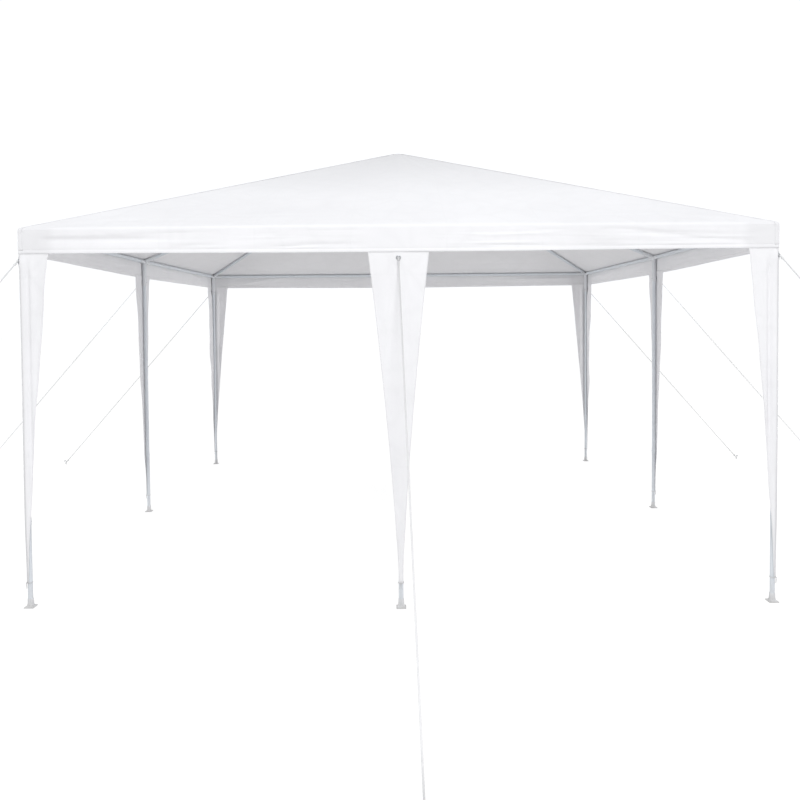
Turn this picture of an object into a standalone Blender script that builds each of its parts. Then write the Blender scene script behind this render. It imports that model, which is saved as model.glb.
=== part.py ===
"""Party tent with a square pyramid roof on eight legs.

The tent stands on the ground at Z = 0 with its middle over the origin. +X is its right, +Y its back
and +Z up, in metres. Push-fit steel tubes make the frame: eight legs with square feet, an eave tube on
each side of every middle leg, and eight rafters that run up to a crown. A thin sheet covers it: four
roof panels, four valance strips and a tapered skirt down each leg. Eight taut ropes run from the
skirts' eyelets to pegs in the ground.

Everything but the ropes repeats four times around the middle, so most pieces are worked out for the
front side and turned by quarter turns.
"""

import math

import bmesh
import bpy
import numpy as np
from mathutils import Matrix, Vector

# Frame: where the tubes' centre lines run
CORNER_REACH = 1.982
SIDE_BULGE = 0.045
EAVE_HEIGHT = 2.0
CROWN_HEIGHT = 2.82

# Tubes and the sockets that they push into
TUBE_RADIUS = 0.0125
SOCKET_RADIUS = 0.0145
LEG_SOCKET_RADIUS = 0.0155
LEG_SOCKET_TOP = 0.009
BORE_RADIUS = 0.0131
ROUND_SIDES = 16
SOCKET_REACH = 0.10
BORE_START = 0.042
LEG_SOCKET_REACH = 0.19
LEG_BORE_START = 0.03
CROWN_SOCKET_REACH = 0.12
CROWN_BORE_START = 0.055

# Outlines are rings of half width, height and squareness, which is 0 for a round ring and 1 for a square
# Foot: from the square plate on the ground up to the round tube
FOOT_OUTLINE = ((0.026, 0.0, 1.0), (0.026, 0.005, 1.0), (0.0215, 0.011, 0.75), (0.018, 0.028, 0.25),
                (0.0165, 0.046, 0.0))

# Crown hub: from the top down, with heights over the centre lines' meeting point
HUB_OUTLINE = ((0.013, 0.009, 0.0), (0.034, -0.004, 0.0), (0.036, -0.01, 0.0), (0.036, -0.03, 0.0),
               (0.03, -0.036, 0.0))

# Sheet: how thick it is modelled, and how far off the centre lines its inner face lies
SHEET_THICKNESS = 0.003
SHEET_STANDOFF = 0.0158
VALANCE_BOTTOM = 1.88

# Leg skirts: a strip that narrows along a power curve
SKIRT_TOP_WIDTH = 0.32
SKIRT_END_WIDTH = 0.024
SKIRT_LENGTH = 1.75
SKIRT_TAPER_POWER = 1.46
SKIRT_STEPS = 10

# Guy ropes and pegs
EYELET_HEIGHT = 1.84
ROPE_RADIUS = 0.003
KNOT_RADIUS = 0.0065
ROPE_SIDES = 8
SIDE_ROPE_RUN = 1.6
END_ROPE_RUN = 1.8
END_ROPE_DRIFT = 0.07
PEG_RADIUS = 0.0035
PEG_HEIGHT = 0.034
PEG_HOOK_RADIUS = 0.0085
PEG_HOOK_STEPS = 6
ROPE_END_HEIGHT = 0.02

# Gap between pieces that touch
GAP = 0.0003

SMOOTH_ANGLE = math.radians(35.0)
SIDES = ("front", "right", "back", "left")
CORNERS = ("front_left", "front_right", "back_right", "back_left")
QUARTER_TURN = math.pi / 2.0


def clear_scene():
    """Remove every object that the scene starts with."""
    for item in list(bpy.data.objects):
        bpy.data.objects.remove(item, do_unlink=True)


def make_material(name, colour, roughness, metallic):
    """A Principled material of one colour."""
    material = bpy.data.materials.new(name)
    material.use_nodes = True
    shader = material.node_tree.nodes["Principled BSDF"]
    shader.inputs["Base Color"].default_value = (*colour, 1.0)
    shader.inputs["Roughness"].default_value = roughness
    shader.inputs["Metallic"].default_value = metallic
    return material


def mesh_from_points(name, points, faces):
    """A mesh from its points and faces, with every face turned outwards."""
    mesh = bpy.data.meshes.new(name)
    mesh.from_pydata([tuple(point) for point in points], [], faces)
    work = bmesh.new()
    work.from_mesh(mesh)
    bmesh.ops.recalc_face_normals(work, faces=work.faces)
    work.to_mesh(mesh)
    work.free()
    return mesh


def rod_mesh(name, radius, length, sides):
    """A capped round rod from the origin along +Z."""
    mesh = bpy.data.meshes.new(name)
    work = bmesh.new()
    lift = Matrix.Translation((0.0, 0.0, length / 2.0))
    bmesh.ops.create_cone(work, cap_ends=True, segments=sides, radius1=radius, radius2=radius,
                          depth=length, matrix=lift)
    work.to_mesh(mesh)
    work.free()
    return mesh


def turned_mesh(name, outline, sides):
    """A solid about Z from rings of half width, height and squareness, capped flat at both ends."""
    turn = 2.0 * math.pi / sides
    points = []
    for half_width, height, squareness in outline:
        for step in range(sides):
            x = math.cos(turn * step)
            y = math.sin(turn * step)
            reach = half_width / max(abs(x), abs(y)) ** squareness
            points.append((reach * x, reach * y, height))
    faces = []
    for ring in range(len(outline) - 1):
        for step in range(sides):
            after = (step + 1) % sides
            low = ring * sides
            high = low + sides
            faces.append((low + step, low + after, high + after, high + step))
    faces.append(tuple(range(sides)))
    last = (len(outline) - 1) * sides
    faces.append(tuple(last + step for step in range(sides)))
    return mesh_from_points(name, points, faces)


def shade(mesh):
    """Smooth shading that keeps the edges sharper than SMOOTH_ANGLE."""
    mesh.shade_smooth()
    mesh.set_sharp_from_angle(angle=SMOOTH_ANGLE)


def add_object(name, mesh, material=None):
    """Put a mesh into the scene as a named object."""
    item = bpy.data.objects.new(name, mesh)
    bpy.context.collection.objects.link(item)
    if material is not None and not mesh.materials:
        mesh.materials.append(material)
    return item


def aim(item, start, end):
    """Stand an object's +Z axis along the way from start to end, with its origin at start."""
    direction = Vector(end) - Vector(start)
    item.location = start
    item.rotation_mode = "QUATERNION"
    item.rotation_quaternion = direction.to_track_quat("Z", "Y")


def add_rod(name, start, end, radius, sides, material=None):
    """A round rod between two points."""
    length = (Vector(end) - Vector(start)).length
    item = add_object(name, rod_mesh(name, radius, length, sides), material)
    aim(item, start, end)
    return item


def fuse(name, base, additions, cutters):
    """Join the additions to the base, cut the cutters out, and give back the mesh in world space."""
    for operation, tools in (("UNION", additions), ("DIFFERENCE", cutters)):
        for tool in tools:
            modifier = base.modifiers.new(tool.name, "BOOLEAN")
            modifier.operation = operation
            modifier.solver = "EXACT"
            modifier.object = tool
            tool.hide_render = True
            tool.display_type = "WIRE"
    bpy.context.view_layer.update()
    evaluated = base.evaluated_get(bpy.context.evaluated_depsgraph_get())
    mesh = bpy.data.meshes.new_from_object(evaluated)
    mesh.name = name
    mesh.transform(base.matrix_world)
    for tool in (base, *additions, *cutters):
        bpy.data.objects.remove(tool, do_unlink=True)
    shade(mesh)
    return mesh


def turned(point, quarter):
    """A point of the front side, moved by quarter turns about the tent's middle."""
    return Matrix.Rotation(quarter * QUARTER_TURN, 3, "Z") @ Vector(point)


# Centre-line points of the front side, which the other sides repeat
FRONT_LEFT = Vector((-CORNER_REACH, -CORNER_REACH, EAVE_HEIGHT))
FRONT_RIGHT = Vector((CORNER_REACH, -CORNER_REACH, EAVE_HEIGHT))
FRONT_MIDDLE = Vector((0.0, -CORNER_REACH - SIDE_BULGE, EAVE_HEIGHT))
LEFT_MIDDLE = turned(FRONT_MIDDLE, 3)
CROWN = Vector((0.0, 0.0, CROWN_HEIGHT))
DOWN = Vector((0.0, 0.0, -1.0))


def way(start, end):
    """Unit direction from start to end."""
    return (Vector(end) - Vector(start)).normalized()


def socket_parts(name, directions, radius, start, reach):
    """Arms and bores of a connector whose centre is at the origin, one pair for each direction."""
    arms = []
    bores = []
    for number, direction in enumerate(directions):
        arms.append(add_rod(f"{name}_arm_{number}", Vector(), direction * reach, radius, ROUND_SIDES))
        mouth = direction * (reach + SOCKET_REACH)
        bores.append(add_rod(f"{name}_bore_{number}", direction * start, mouth, BORE_RADIUS, ROUND_SIDES))
    return arms, bores


def connector_mesh(name, directions):
    """A post with the leg's socket underneath, and a socket along each of the other directions."""
    top = Vector((0.0, 0.0, LEG_SOCKET_TOP))
    post = add_rod(f"{name}_post", top, DOWN * LEG_SOCKET_REACH, LEG_SOCKET_RADIUS, ROUND_SIDES)
    arms, bores = socket_parts(name, directions, SOCKET_RADIUS, BORE_START, SOCKET_REACH)
    leg_mouth = DOWN * (LEG_SOCKET_REACH + SOCKET_REACH)
    bores.append(add_rod(f"{name}_leg_bore", DOWN * LEG_BORE_START, leg_mouth, BORE_RADIUS, ROUND_SIDES))
    return fuse(name, post, arms, bores)


def build_connectors(material):
    """Four corner connectors and four side connectors, each with a leg, two eave tubes and a rafter."""
    corner = connector_mesh("corner_connector", (
        way(FRONT_LEFT, FRONT_MIDDLE), way(FRONT_LEFT, LEFT_MIDDLE), way(FRONT_LEFT, CROWN)))
    side = connector_mesh("side_connector", (
        way(FRONT_MIDDLE, FRONT_LEFT), way(FRONT_MIDDLE, FRONT_RIGHT), way(FRONT_MIDDLE, CROWN)))
    for quarter in range(4):
        for kind, mesh, centre, places in (("corner", corner, FRONT_LEFT, CORNERS),
                                           ("side", side, FRONT_MIDDLE, SIDES)):
            item = add_object(f"{kind}_connector_{places[quarter]}", mesh, material)
            item.location = turned(centre, quarter)
            item.rotation_euler.z = quarter * QUARTER_TURN


def build_crown(material):
    """The hub at the top of the roof, with a socket for each of the eight rafters."""
    directions = []
    for quarter in range(4):
        directions.append(way(CROWN, turned(FRONT_LEFT, quarter)))
        directions.append(way(CROWN, turned(FRONT_MIDDLE, quarter)))
    hub = add_object("crown_hub", turned_mesh("crown_hub", HUB_OUTLINE, ROUND_SIDES))
    arms, bores = socket_parts("crown", directions, SOCKET_RADIUS, CROWN_BORE_START, CROWN_SOCKET_REACH)
    item = add_object("crown_connector", fuse("crown_connector", hub, arms, bores), material)
    item.location = CROWN


def build_legs(material):
    """Eight leg tubes, each fixed in its square flared foot, with their origins on the ground."""
    top = EAVE_HEIGHT - LEG_BORE_START - GAP
    outline = (*FOOT_OUTLINE, (TUBE_RADIUS, FOOT_OUTLINE[-1][1], 0.0), (TUBE_RADIUS, top, 0.0))
    mesh = turned_mesh("leg", outline, ROUND_SIDES)
    shade(mesh)
    for quarter in range(4):
        for name, centre in ((f"leg_{CORNERS[quarter]}", FRONT_LEFT),
                             (f"leg_{SIDES[quarter]}_middle", FRONT_MIDDLE)):
            item = add_object(name, mesh, material)
            item.location = turned((centre.x, centre.y, 0.0), quarter)


def add_frame_tube(name, start, end, start_inset, end_inset, material):
    """A tube between two connectors' centres that stops just short of the bottoms of their bores."""
    direction = way(start, end)
    near = Vector(start) + direction * (start_inset + GAP)
    far = Vector(end) - direction * (end_inset + GAP)
    item = add_rod(name, near, far, TUBE_RADIUS, ROUND_SIDES, material)
    shade(item.data)


def build_eaves(material):
    """Two eave tubes on each side, from the middle leg to the corners."""
    for quarter, side in enumerate(SIDES):
        for corner_point, neighbour in ((FRONT_LEFT, SIDES[quarter - 1]),
                                        (FRONT_RIGHT, SIDES[(quarter + 1) % 4])):
            add_frame_tube(f"eave_tube_{side}_{neighbour}", turned(corner_point, quarter),
                           turned(FRONT_MIDDLE, quarter), BORE_START, BORE_START, material)


def build_rafters(material):
    """Four hip rafters from the corners and four side rafters from the middle legs, up to the crown."""
    for quarter in range(4):
        add_frame_tube(f"hip_rafter_{CORNERS[quarter]}", turned(FRONT_LEFT, quarter), CROWN,
                       BORE_START, CROWN_BORE_START, material)
        add_frame_tube(f"side_rafter_{SIDES[quarter]}", turned(FRONT_MIDDLE, quarter), CROWN,
                       BORE_START, CROWN_BORE_START, material)


# The sheet lies in planes parallel to the frame's own: each plane is (normal, distance from origin)
EAVE_WAY = way(FRONT_LEFT, FRONT_MIDDLE)
OUTWARD = Vector((EAVE_WAY.y, -EAVE_WAY.x, 0.0))
ROOF_UP = EAVE_WAY.cross(way(FRONT_LEFT, CROWN)).normalized()


def roof_plane(offset):
    """The left half of the front roof, this far above the tubes' centre lines."""
    return ROOF_UP, ROOF_UP.dot(CROWN) + offset


def valance_plane(offset):
    """The left half of the front valance, this far outside the eave tube's centre line."""
    return OUTWARD, OUTWARD.dot(FRONT_LEFT) + offset


def hip_plane(inset):
    """The upright plane over the front left hip, moved towards the front side by inset."""
    normal = Vector((1.0, -1.0, 0.0)).normalized()
    return normal, inset


def level_plane(height):
    """The level plane at this height."""
    return Vector((0.0, 0.0, 1.0)), height


MIDDLE_PLANE = (Vector((1.0, 0.0, 0.0)), 0.0)


def meeting_point(*planes):
    """The point that three planes share."""
    normals = np.array([tuple(normal) for normal, distance in planes])
    distances = np.array([distance for normal, distance in planes])
    return Vector(np.linalg.solve(normals, distances))


def mirrored(point):
    """The same point on the right half of the front side."""
    return Vector((-point.x, point.y, point.z))


def build_roof(material):
    """Four roof panels, each folded a little over its side rafter, with seams over the hips."""
    points = []
    for offset in (SHEET_STANDOFF, SHEET_STANDOFF + SHEET_THICKNESS):
        seam = hip_plane(GAP / 2.0)
        left = meeting_point(roof_plane(offset), valance_plane(offset), seam)
        middle = meeting_point(roof_plane(offset), valance_plane(offset), MIDDLE_PLANE)
        apex = meeting_point(roof_plane(offset), seam, MIDDLE_PLANE)
        points += [left, middle, mirrored(left), apex]
    faces = [(0, 1, 3), (1, 2, 3), (4, 7, 5), (5, 7, 6),
             (0, 4, 5, 1), (1, 5, 6, 2), (2, 6, 7, 3), (3, 7, 4, 0)]
    mesh = mesh_from_points("roof_panel", points, faces)
    for quarter, side in enumerate(SIDES):
        item = add_object(f"roof_panel_{side}", mesh, material)
        item.rotation_euler.z = quarter * QUARTER_TURN


def build_valances(material):
    """Four strips that hang from the eaves, mitred at the corners."""
    seam = hip_plane(GAP / 2.0)
    drop = Vector((0.0, 0.0, -1.5 * GAP))
    columns = []
    for cut in (seam, MIDDLE_PLANE):
        column = []
        for offset in (SHEET_STANDOFF, SHEET_STANDOFF + SHEET_THICKNESS):
            upright = valance_plane(offset)
            column.append(meeting_point(level_plane(VALANCE_BOTTOM), upright, cut))
            column.append(meeting_point(roof_plane(offset), upright, cut) + drop)
        columns.append([column[0], column[1], column[3], column[2]])
    columns.append([mirrored(point) for point in columns[0]])
    mesh = lofted_mesh("valance", columns)
    for quarter, side in enumerate(SIDES):
        item = add_object(f"valance_{side}", mesh, material)
        item.rotation_euler.z = quarter * QUARTER_TURN


def lofted_mesh(name, rings):
    """A closed solid through rings of equally many points, capped at both ends."""
    count = len(rings[0])
    points = [point for ring in rings for point in ring]
    faces = [tuple(range(count)), tuple((len(rings) - 1) * count + step for step in range(count))]
    for ring in range(len(rings) - 1):
        for step in range(count):
            after = (step + 1) % count
            low = ring * count
            high = low + count
            faces.append((low + step, low + after, high + after, high + step))
    return mesh_from_points(name, points, faces)


def skirt_half_width(share):
    """Half the skirt's width at this share of the way down."""
    extra = (SKIRT_TOP_WIDTH - SKIRT_END_WIDTH) * (1.0 - share) ** SKIRT_TAPER_POWER
    return (SKIRT_END_WIDTH + extra) / 2.0


def skirt_mesh(name, fold):
    """A strip folded at its middle: fold(half_width, height) gives a ring of points at one height."""
    top = VALANCE_BOTTOM - GAP
    rings = []
    for step in range(SKIRT_STEPS + 1):
        share = step / SKIRT_STEPS
        rings.append(fold(skirt_half_width(share), top - share * SKIRT_LENGTH))
    return lofted_mesh(name, rings)


def side_fold(half_width, height):
    """Ring of a side skirt, which follows the valance to both sides of the middle leg."""
    ring = []
    for offset in (SHEET_STANDOFF, SHEET_STANDOFF + SHEET_THICKNESS):
        plane = valance_plane(offset)
        middle = meeting_point(plane, MIDDLE_PLANE, level_plane(height))
        edge = meeting_point(plane, (Vector((1.0, 0.0, 0.0)), -half_width), level_plane(height))
        ring.append((edge, middle, mirrored(edge)))
    return [*ring[0], *reversed(ring[1])]


def corner_fold(half_width, height):
    """Ring of the front left corner skirt, which folds round the corner leg."""
    ring = []
    for offset in (SHEET_STANDOFF, SHEET_STANDOFF + SHEET_THICKNESS):
        plane = valance_plane(offset)
        corner = meeting_point(plane, hip_plane(0.0), level_plane(height))
        wing_end = corner_edge_x() + half_width
        edge = meeting_point(plane, (Vector((1.0, 0.0, 0.0)), wing_end), level_plane(height))
        ring.append((edge, corner, Vector((edge.y, edge.x, edge.z))))
    return [*ring[0], *reversed(ring[1])]


def corner_edge_x():
    """X of the sheet's outermost upright edge at the front left corner."""
    plane = valance_plane(SHEET_STANDOFF + SHEET_THICKNESS)
    return meeting_point(plane, hip_plane(0.0), level_plane(0.0)).x


def build_skirts(material):
    """A skirt down each leg: four flat ones at the sides, four folded round the corners."""
    side = skirt_mesh("side_skirt", side_fold)
    corner = skirt_mesh("corner_skirt", corner_fold)
    for quarter in range(4):
        for name, mesh in ((f"skirt_{CORNERS[quarter]}", corner),
                           (f"skirt_{SIDES[quarter]}_middle", side)):
            item = add_object(name, mesh, material)
            item.rotation_euler.z = quarter * QUARTER_TURN


def peg_object(away):
    """A hooked peg on the origin: an upright shank whose top bends over, away from the tent."""
    path = [Vector((0.0, 0.0, 0.0)), Vector((0.0, 0.0, PEG_HEIGHT))]
    centre = away * PEG_HOOK_RADIUS + Vector((0.0, 0.0, PEG_HEIGHT))
    for step in range(1, PEG_HOOK_STEPS + 1):
        angle = math.pi * step / PEG_HOOK_STEPS
        side = -away * math.cos(angle) * PEG_HOOK_RADIUS
        path.append(centre + side + Vector((0.0, 0.0, math.sin(angle) * PEG_HOOK_RADIUS)))
    curve = bpy.data.curves.new("peg", "CURVE")
    curve.dimensions = "3D"
    curve.bevel_depth = PEG_RADIUS
    curve.bevel_resolution = 2
    curve.use_fill_caps = True
    spline = curve.splines.new("POLY")
    spline.points.add(len(path) - 1)
    for point, place in zip(spline.points, path):
        point.co = (*place, 1.0)
    rod = bpy.data.objects.new("peg_curve", curve)
    bpy.context.collection.objects.link(rod)
    bpy.context.view_layer.update()
    evaluated = rod.evaluated_get(bpy.context.evaluated_depsgraph_get())
    mesh = bpy.data.meshes.new_from_object(evaluated)
    bpy.data.objects.remove(rod, do_unlink=True)
    return add_object("peg", closed_copy(mesh))


def closed_copy(mesh):
    """The same mesh with its doubled cap points merged and its faces turned outwards."""
    work = bmesh.new()
    work.from_mesh(mesh)
    bmesh.ops.remove_doubles(work, verts=work.verts, dist=0.00001)
    bmesh.ops.recalc_face_normals(work, faces=work.faces)
    work.to_mesh(mesh)
    work.free()
    return mesh


def knot_object(centre):
    """The knot that holds a rope in its eyelet."""
    mesh = bpy.data.meshes.new("knot")
    work = bmesh.new()
    bmesh.ops.create_icosphere(work, subdivisions=2, radius=KNOT_RADIUS)
    work.to_mesh(mesh)
    work.free()
    item = add_object("knot", mesh)
    item.location = centre
    return item


def add_guy_rope(name, eyelet, outwards, away, run, drift, material):
    """A taut rope from its knot at an eyelet to a peg, made as one solid with its origin at the peg.

    The knot sits outwards of the eyelet. The peg stands a run away from it, and to one side by drift.
    """
    knot_centre = eyelet + outwards * (KNOT_RADIUS + GAP)
    sideways = Vector((-away.y, away.x, 0.0))
    foot = knot_centre + away * run + sideways * drift
    foot.z = 0.0
    rope_end = Vector((0.0, 0.0, ROPE_END_HEIGHT))
    rope = add_rod("rope", knot_centre - foot, rope_end, ROPE_RADIUS, ROPE_SIDES)
    mesh = fuse(name, rope, [peg_object(away), knot_object(knot_centre - foot)], [])
    item = add_object(name, mesh, material)
    item.location = foot


def build_ropes(material):
    """Ropes at the corners and sides pull straight out to the left and right, the others front and back."""
    outer = valance_plane(SHEET_STANDOFF + SHEET_THICKNESS)
    level = level_plane(EYELET_HEIGHT)
    corner_eyelet = meeting_point(outer, hip_plane(0.0), level)
    side_eyelet = meeting_point(outer, MIDDLE_PLANE, level)
    diagonal = Vector((-1.0, -1.0, 0.0)).normalized()
    forward = Vector((0.0, -1.0, 0.0))
    for quarter in range(4):
        eyelet = turned(corner_eyelet, quarter)
        away = Vector((math.copysign(1.0, eyelet.x), 0.0, 0.0))
        add_guy_rope(f"guy_rope_{CORNERS[quarter]}", eyelet, turned(diagonal, quarter), away,
                     SIDE_ROPE_RUN, 0.0, material)
        pulls_to_end = quarter % 2 == 0
        run = END_ROPE_RUN if pulls_to_end else SIDE_ROPE_RUN
        drift = END_ROPE_DRIFT if pulls_to_end else 0.0
        outwards = turned(forward, quarter)
        add_guy_rope(f"guy_rope_{SIDES[quarter]}_middle", turned(side_eyelet, quarter), outwards,
                     outwards, run, drift, material)


def main():
    clear_scene()
    tube_paint = make_material("tube paint", (0.72, 0.76, 0.81), 0.38, 0.0)
    connector_paint = make_material("connector paint", (0.66, 0.70, 0.75), 0.42, 0.0)
    sheet = make_material("white sheet", (0.92, 0.92, 0.95), 0.55, 0.0)
    cord = make_material("white cord", (0.82, 0.82, 0.83), 0.8, 0.0)
    build_legs(tube_paint)
    build_eaves(tube_paint)
    build_rafters(tube_paint)
    build_connectors(connector_paint)
    build_crown(connector_paint)
    build_roof(sheet)
    build_valances(sheet)
    build_skirts(sheet)
    build_ropes(cord)


main()
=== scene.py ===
"""The looks of a white party tent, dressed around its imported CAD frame.

The cover is one sheet that runs from the peak over the eaves and down the valance. Skirts hang
down the legs, ropes pull at their eyelets, and the tubes, sockets and feet have their small parts.
Every shape is a formula on a grid of two parameters, in metres: +X is right, +Y back and +Z up.
"""

import math

import bpy
import numpy as np
from bpy.props import FloatProperty, FloatVectorProperty, IntProperty, PointerProperty
from bpy.types import Operator, Panel, PropertyGroup
from mathutils import Matrix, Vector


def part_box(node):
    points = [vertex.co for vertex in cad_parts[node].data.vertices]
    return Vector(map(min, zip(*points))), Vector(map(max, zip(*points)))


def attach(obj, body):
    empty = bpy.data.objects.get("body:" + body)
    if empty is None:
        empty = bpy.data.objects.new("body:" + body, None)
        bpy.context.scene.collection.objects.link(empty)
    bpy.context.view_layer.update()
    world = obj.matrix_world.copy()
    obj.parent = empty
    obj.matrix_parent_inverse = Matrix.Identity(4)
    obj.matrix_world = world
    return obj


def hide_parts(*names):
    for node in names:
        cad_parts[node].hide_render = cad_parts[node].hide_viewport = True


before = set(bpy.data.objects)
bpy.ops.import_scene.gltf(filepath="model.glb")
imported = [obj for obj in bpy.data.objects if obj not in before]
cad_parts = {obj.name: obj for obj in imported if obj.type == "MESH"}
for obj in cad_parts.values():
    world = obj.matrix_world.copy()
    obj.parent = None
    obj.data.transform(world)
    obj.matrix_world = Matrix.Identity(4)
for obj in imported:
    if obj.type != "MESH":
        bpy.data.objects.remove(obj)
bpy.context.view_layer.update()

bl_info = {
    "name": "Party Tent",
    "version": (1, 0, 0),
    "blender": (4, 5, 0),
    "location": "View3D > Sidebar > Party Tent",
    "description": "Makes the cover, skirts, frame, ropes and stage of a white party tent",
    "category": "Object",
}

IMAGE_SIDE = 800
SENSOR_WIDTH = 36.0
FULL_TURN = 2.0 * math.pi
QUARTER_TURN = math.pi / 2.0
UP = np.array([0.0, 0.0, 1.0])
LEVEL = np.array([1.0, 1.0, 0.0])
AXIS = 1e-5

SIDES = ("front", "right", "back", "left")
CORNERS = ("front_left", "front_right", "back_right", "back_left")
EAVE_NEIGHBOURS = (("front_left", "front_right"), ("right_front", "right_back"),
                   ("back_right", "back_left"), ("left_back", "left_front"))


def middle_of(node):
    """Middle of a CAD node's box."""
    return np.mean(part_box(node), axis=0)


# Lengths of the frame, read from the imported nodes
CORNER_REACH = abs(float(middle_of("leg_front_left")[0]))
MIDDLE_REACH = abs(float(middle_of("leg_front_middle")[1]))
EAVE_HEIGHT = float(middle_of("eave_tube_front_left")[2])
LEG_TOP = float(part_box("leg_front_left")[1][2])
VALANCE_BOTTOM = float(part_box("valance_front")[0][2])
SKIRT_END_HEIGHT = float(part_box("skirt_front_left")[0][2])

# Lengths that no node's box gives: the crown, the sheet's outer face from a tube's centre line, the
# eyelets, and where the bores begin in the connectors and in the crown
CROWN_HEIGHT = 2.82
SHEET_REACH = 0.0188
EYELET_HEIGHT = 1.84
BORE_START = 0.0423
CROWN_BORE_START = 0.0553

# An eave from its middle leg to a corner leg: its way and length, its angle to the tent's side, and
# the arc round the corner leg up to the diagonal
ALONG_EAVE = np.array([CORNER_REACH, MIDDLE_REACH - CORNER_REACH])
EAVE_RUN = float(np.linalg.norm(ALONG_EAVE))
ALONG_EAVE = ALONG_EAVE / EAVE_RUN
BULGE_ANGLE = math.atan2(ALONG_EAVE[1], ALONG_EAVE[0])
CORNER_TURN = math.pi / 4.0 - BULGE_ANGLE
SIDE_HALF = EAVE_RUN + SHEET_REACH * CORNER_TURN

# The roof's tilt on a side and along a hip, and the height of the sheet's peak
DIAGONAL_REACH = CORNER_REACH * math.sqrt(2.0)
ROOF_RISE = CROWN_HEIGHT - EAVE_HEIGHT
FACET_TILT = math.atan2(ROOF_RISE, MIDDLE_REACH * math.cos(BULGE_ANGLE))
HIP_TILT = math.atan2(ROOF_RISE, DIAGONAL_REACH)
PEAK_HEIGHT = CROWN_HEIGHT + SHEET_REACH / math.cos(FACET_TILT)
VALANCE_DROP = EAVE_HEIGHT - VALANCE_BOTTOM

# Down the slope of the sheet's outer face, from the peak to the level of the eave tubes' middle
SLANT = (PEAK_HEIGHT - EAVE_HEIGHT) / math.sin(FACET_TILT)

# Along the eave from a middle leg: where the doubled cloth behind its skirt ends, and where that of
# the corner's patch begins
SKIRT_EDGE = 0.158
PATCH_EDGE = EAVE_RUN - 0.147

# Joints of the frame's centre lines
FRONT_CORNER = np.array([-CORNER_REACH, -CORNER_REACH, EAVE_HEIGHT])
RIGHT_CORNER = np.array([CORNER_REACH, -CORNER_REACH, EAVE_HEIGHT])
FRONT_MIDDLE = np.array([0.0, -MIDDLE_REACH, EAVE_HEIGHT])
LEFT_MIDDLE = np.array([-MIDDLE_REACH, 0.0, EAVE_HEIGHT])
CROWN = CROWN_HEIGHT * UP

# Shapes as arrays


def smooth_step(low, high, value):
    """0 below low, 1 above high and an S curve, 3s^2 - 2s^3, between them."""
    share = np.clip((value - low) / (high - low), 0.0, 1.0)
    return share * share * (3.0 - 2.0 * share)


def bell(value, half_width):
    """A bell curve, 1 at 0 and about a third at the half width."""
    return np.exp(-np.square(value / half_width))


def unit(vectors):
    """Vectors scaled to length 1."""
    return vectors / np.maximum(np.linalg.norm(vectors, axis=-1, keepdims=True), 1e-12)


def circle(count):
    """Angles at even steps round a full turn."""
    return np.linspace(0.0, FULL_TURN, count, endpoint=False)


def square_to(way):
    """Directions square to a way: the nearest to up, or to X if it is steep, and a level one."""
    helper = np.array([1.0, 0.0, 0.0]) if abs(way[2]) > 0.9 else UP
    rising = unit(helper - way * float(helper @ way))
    return rising, np.cross(way, rising)


def quarter_turned(points, quarter):
    """Points or directions turned about Z by a number of quarter turns."""
    cosine, sine = ((1.0, 0.0), (0.0, 1.0), (-1.0, 0.0), (0.0, -1.0))[quarter]
    x, y, z = points[..., 0], points[..., 1], points[..., 2]
    return np.stack([cosine * x - sine * y, sine * x + cosine * y, z], axis=-1)


def grid_faces(rows, columns, closed_rows=False, closed_columns=False):
    """Outward quads of a grid numbered by rows; a closed direction joins its end to its start."""
    row = np.arange(rows if closed_rows else rows - 1)[:, None]
    column = np.arange(columns if closed_columns else columns - 1)[None, :]
    below, after = (row + 1) % rows, (column + 1) % columns
    corners = [below * columns + column, below * columns + after,
               row * columns + after, row * columns + column]
    return np.stack(np.broadcast_arrays(*corners), axis=-1).reshape(-1, 4).tolist()


def grid_cut(flat):
    """The cut positions of a grid's points, at the corners of its outward quads."""
    return np.stack([flat[1:, :-1], flat[1:, 1:], flat[:-1, 1:], flat[:-1, :-1]], axis=2)


def tube_faces(rows, count):
    """Outward faces of a tube of rings, with a flat cap at each end."""
    last = (rows - 1) * count
    caps = [list(range(count)), list(range(last + count - 1, last - 1, -1))]
    return grid_faces(rows, count, closed_columns=True) + caps


def swept(path, outline, reference, closed=False):
    """Points and faces of an outline carried along a path.

    Each ring is the outline's (side, up) pairs, where side is the unit cross product of the path's
    direction and the reference, and up is that of side and direction. An open sweep gets flat caps.
    """
    if closed:
        direction = unit(np.roll(path, -1, axis=0) - np.roll(path, 1, axis=0))
    else:
        direction = unit(np.gradient(path, axis=0))
    side = unit(np.cross(direction, np.broadcast_to(reference, path.shape)))
    up = np.cross(side, direction)
    outline = np.broadcast_to(outline, (len(path),) + np.shape(outline)[-2:])
    points = path[:, None] + outline[..., :1] * side[:, None] + outline[..., 1:] * up[:, None]
    rows, count = outline.shape[:2]
    faces = (grid_faces(rows, count, closed_rows=True, closed_columns=True) if closed
             else tube_faces(rows, count))
    return points.reshape(-1, 3), faces


def ring_outline(radius, count):
    """A circle's (side, up) pairs, for one radius or for one radius on each ring."""
    radius = np.asarray(radius, float)[..., None]
    return np.stack([radius * np.cos(circle(count)), radius * np.sin(circle(count))], axis=-1)


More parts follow.
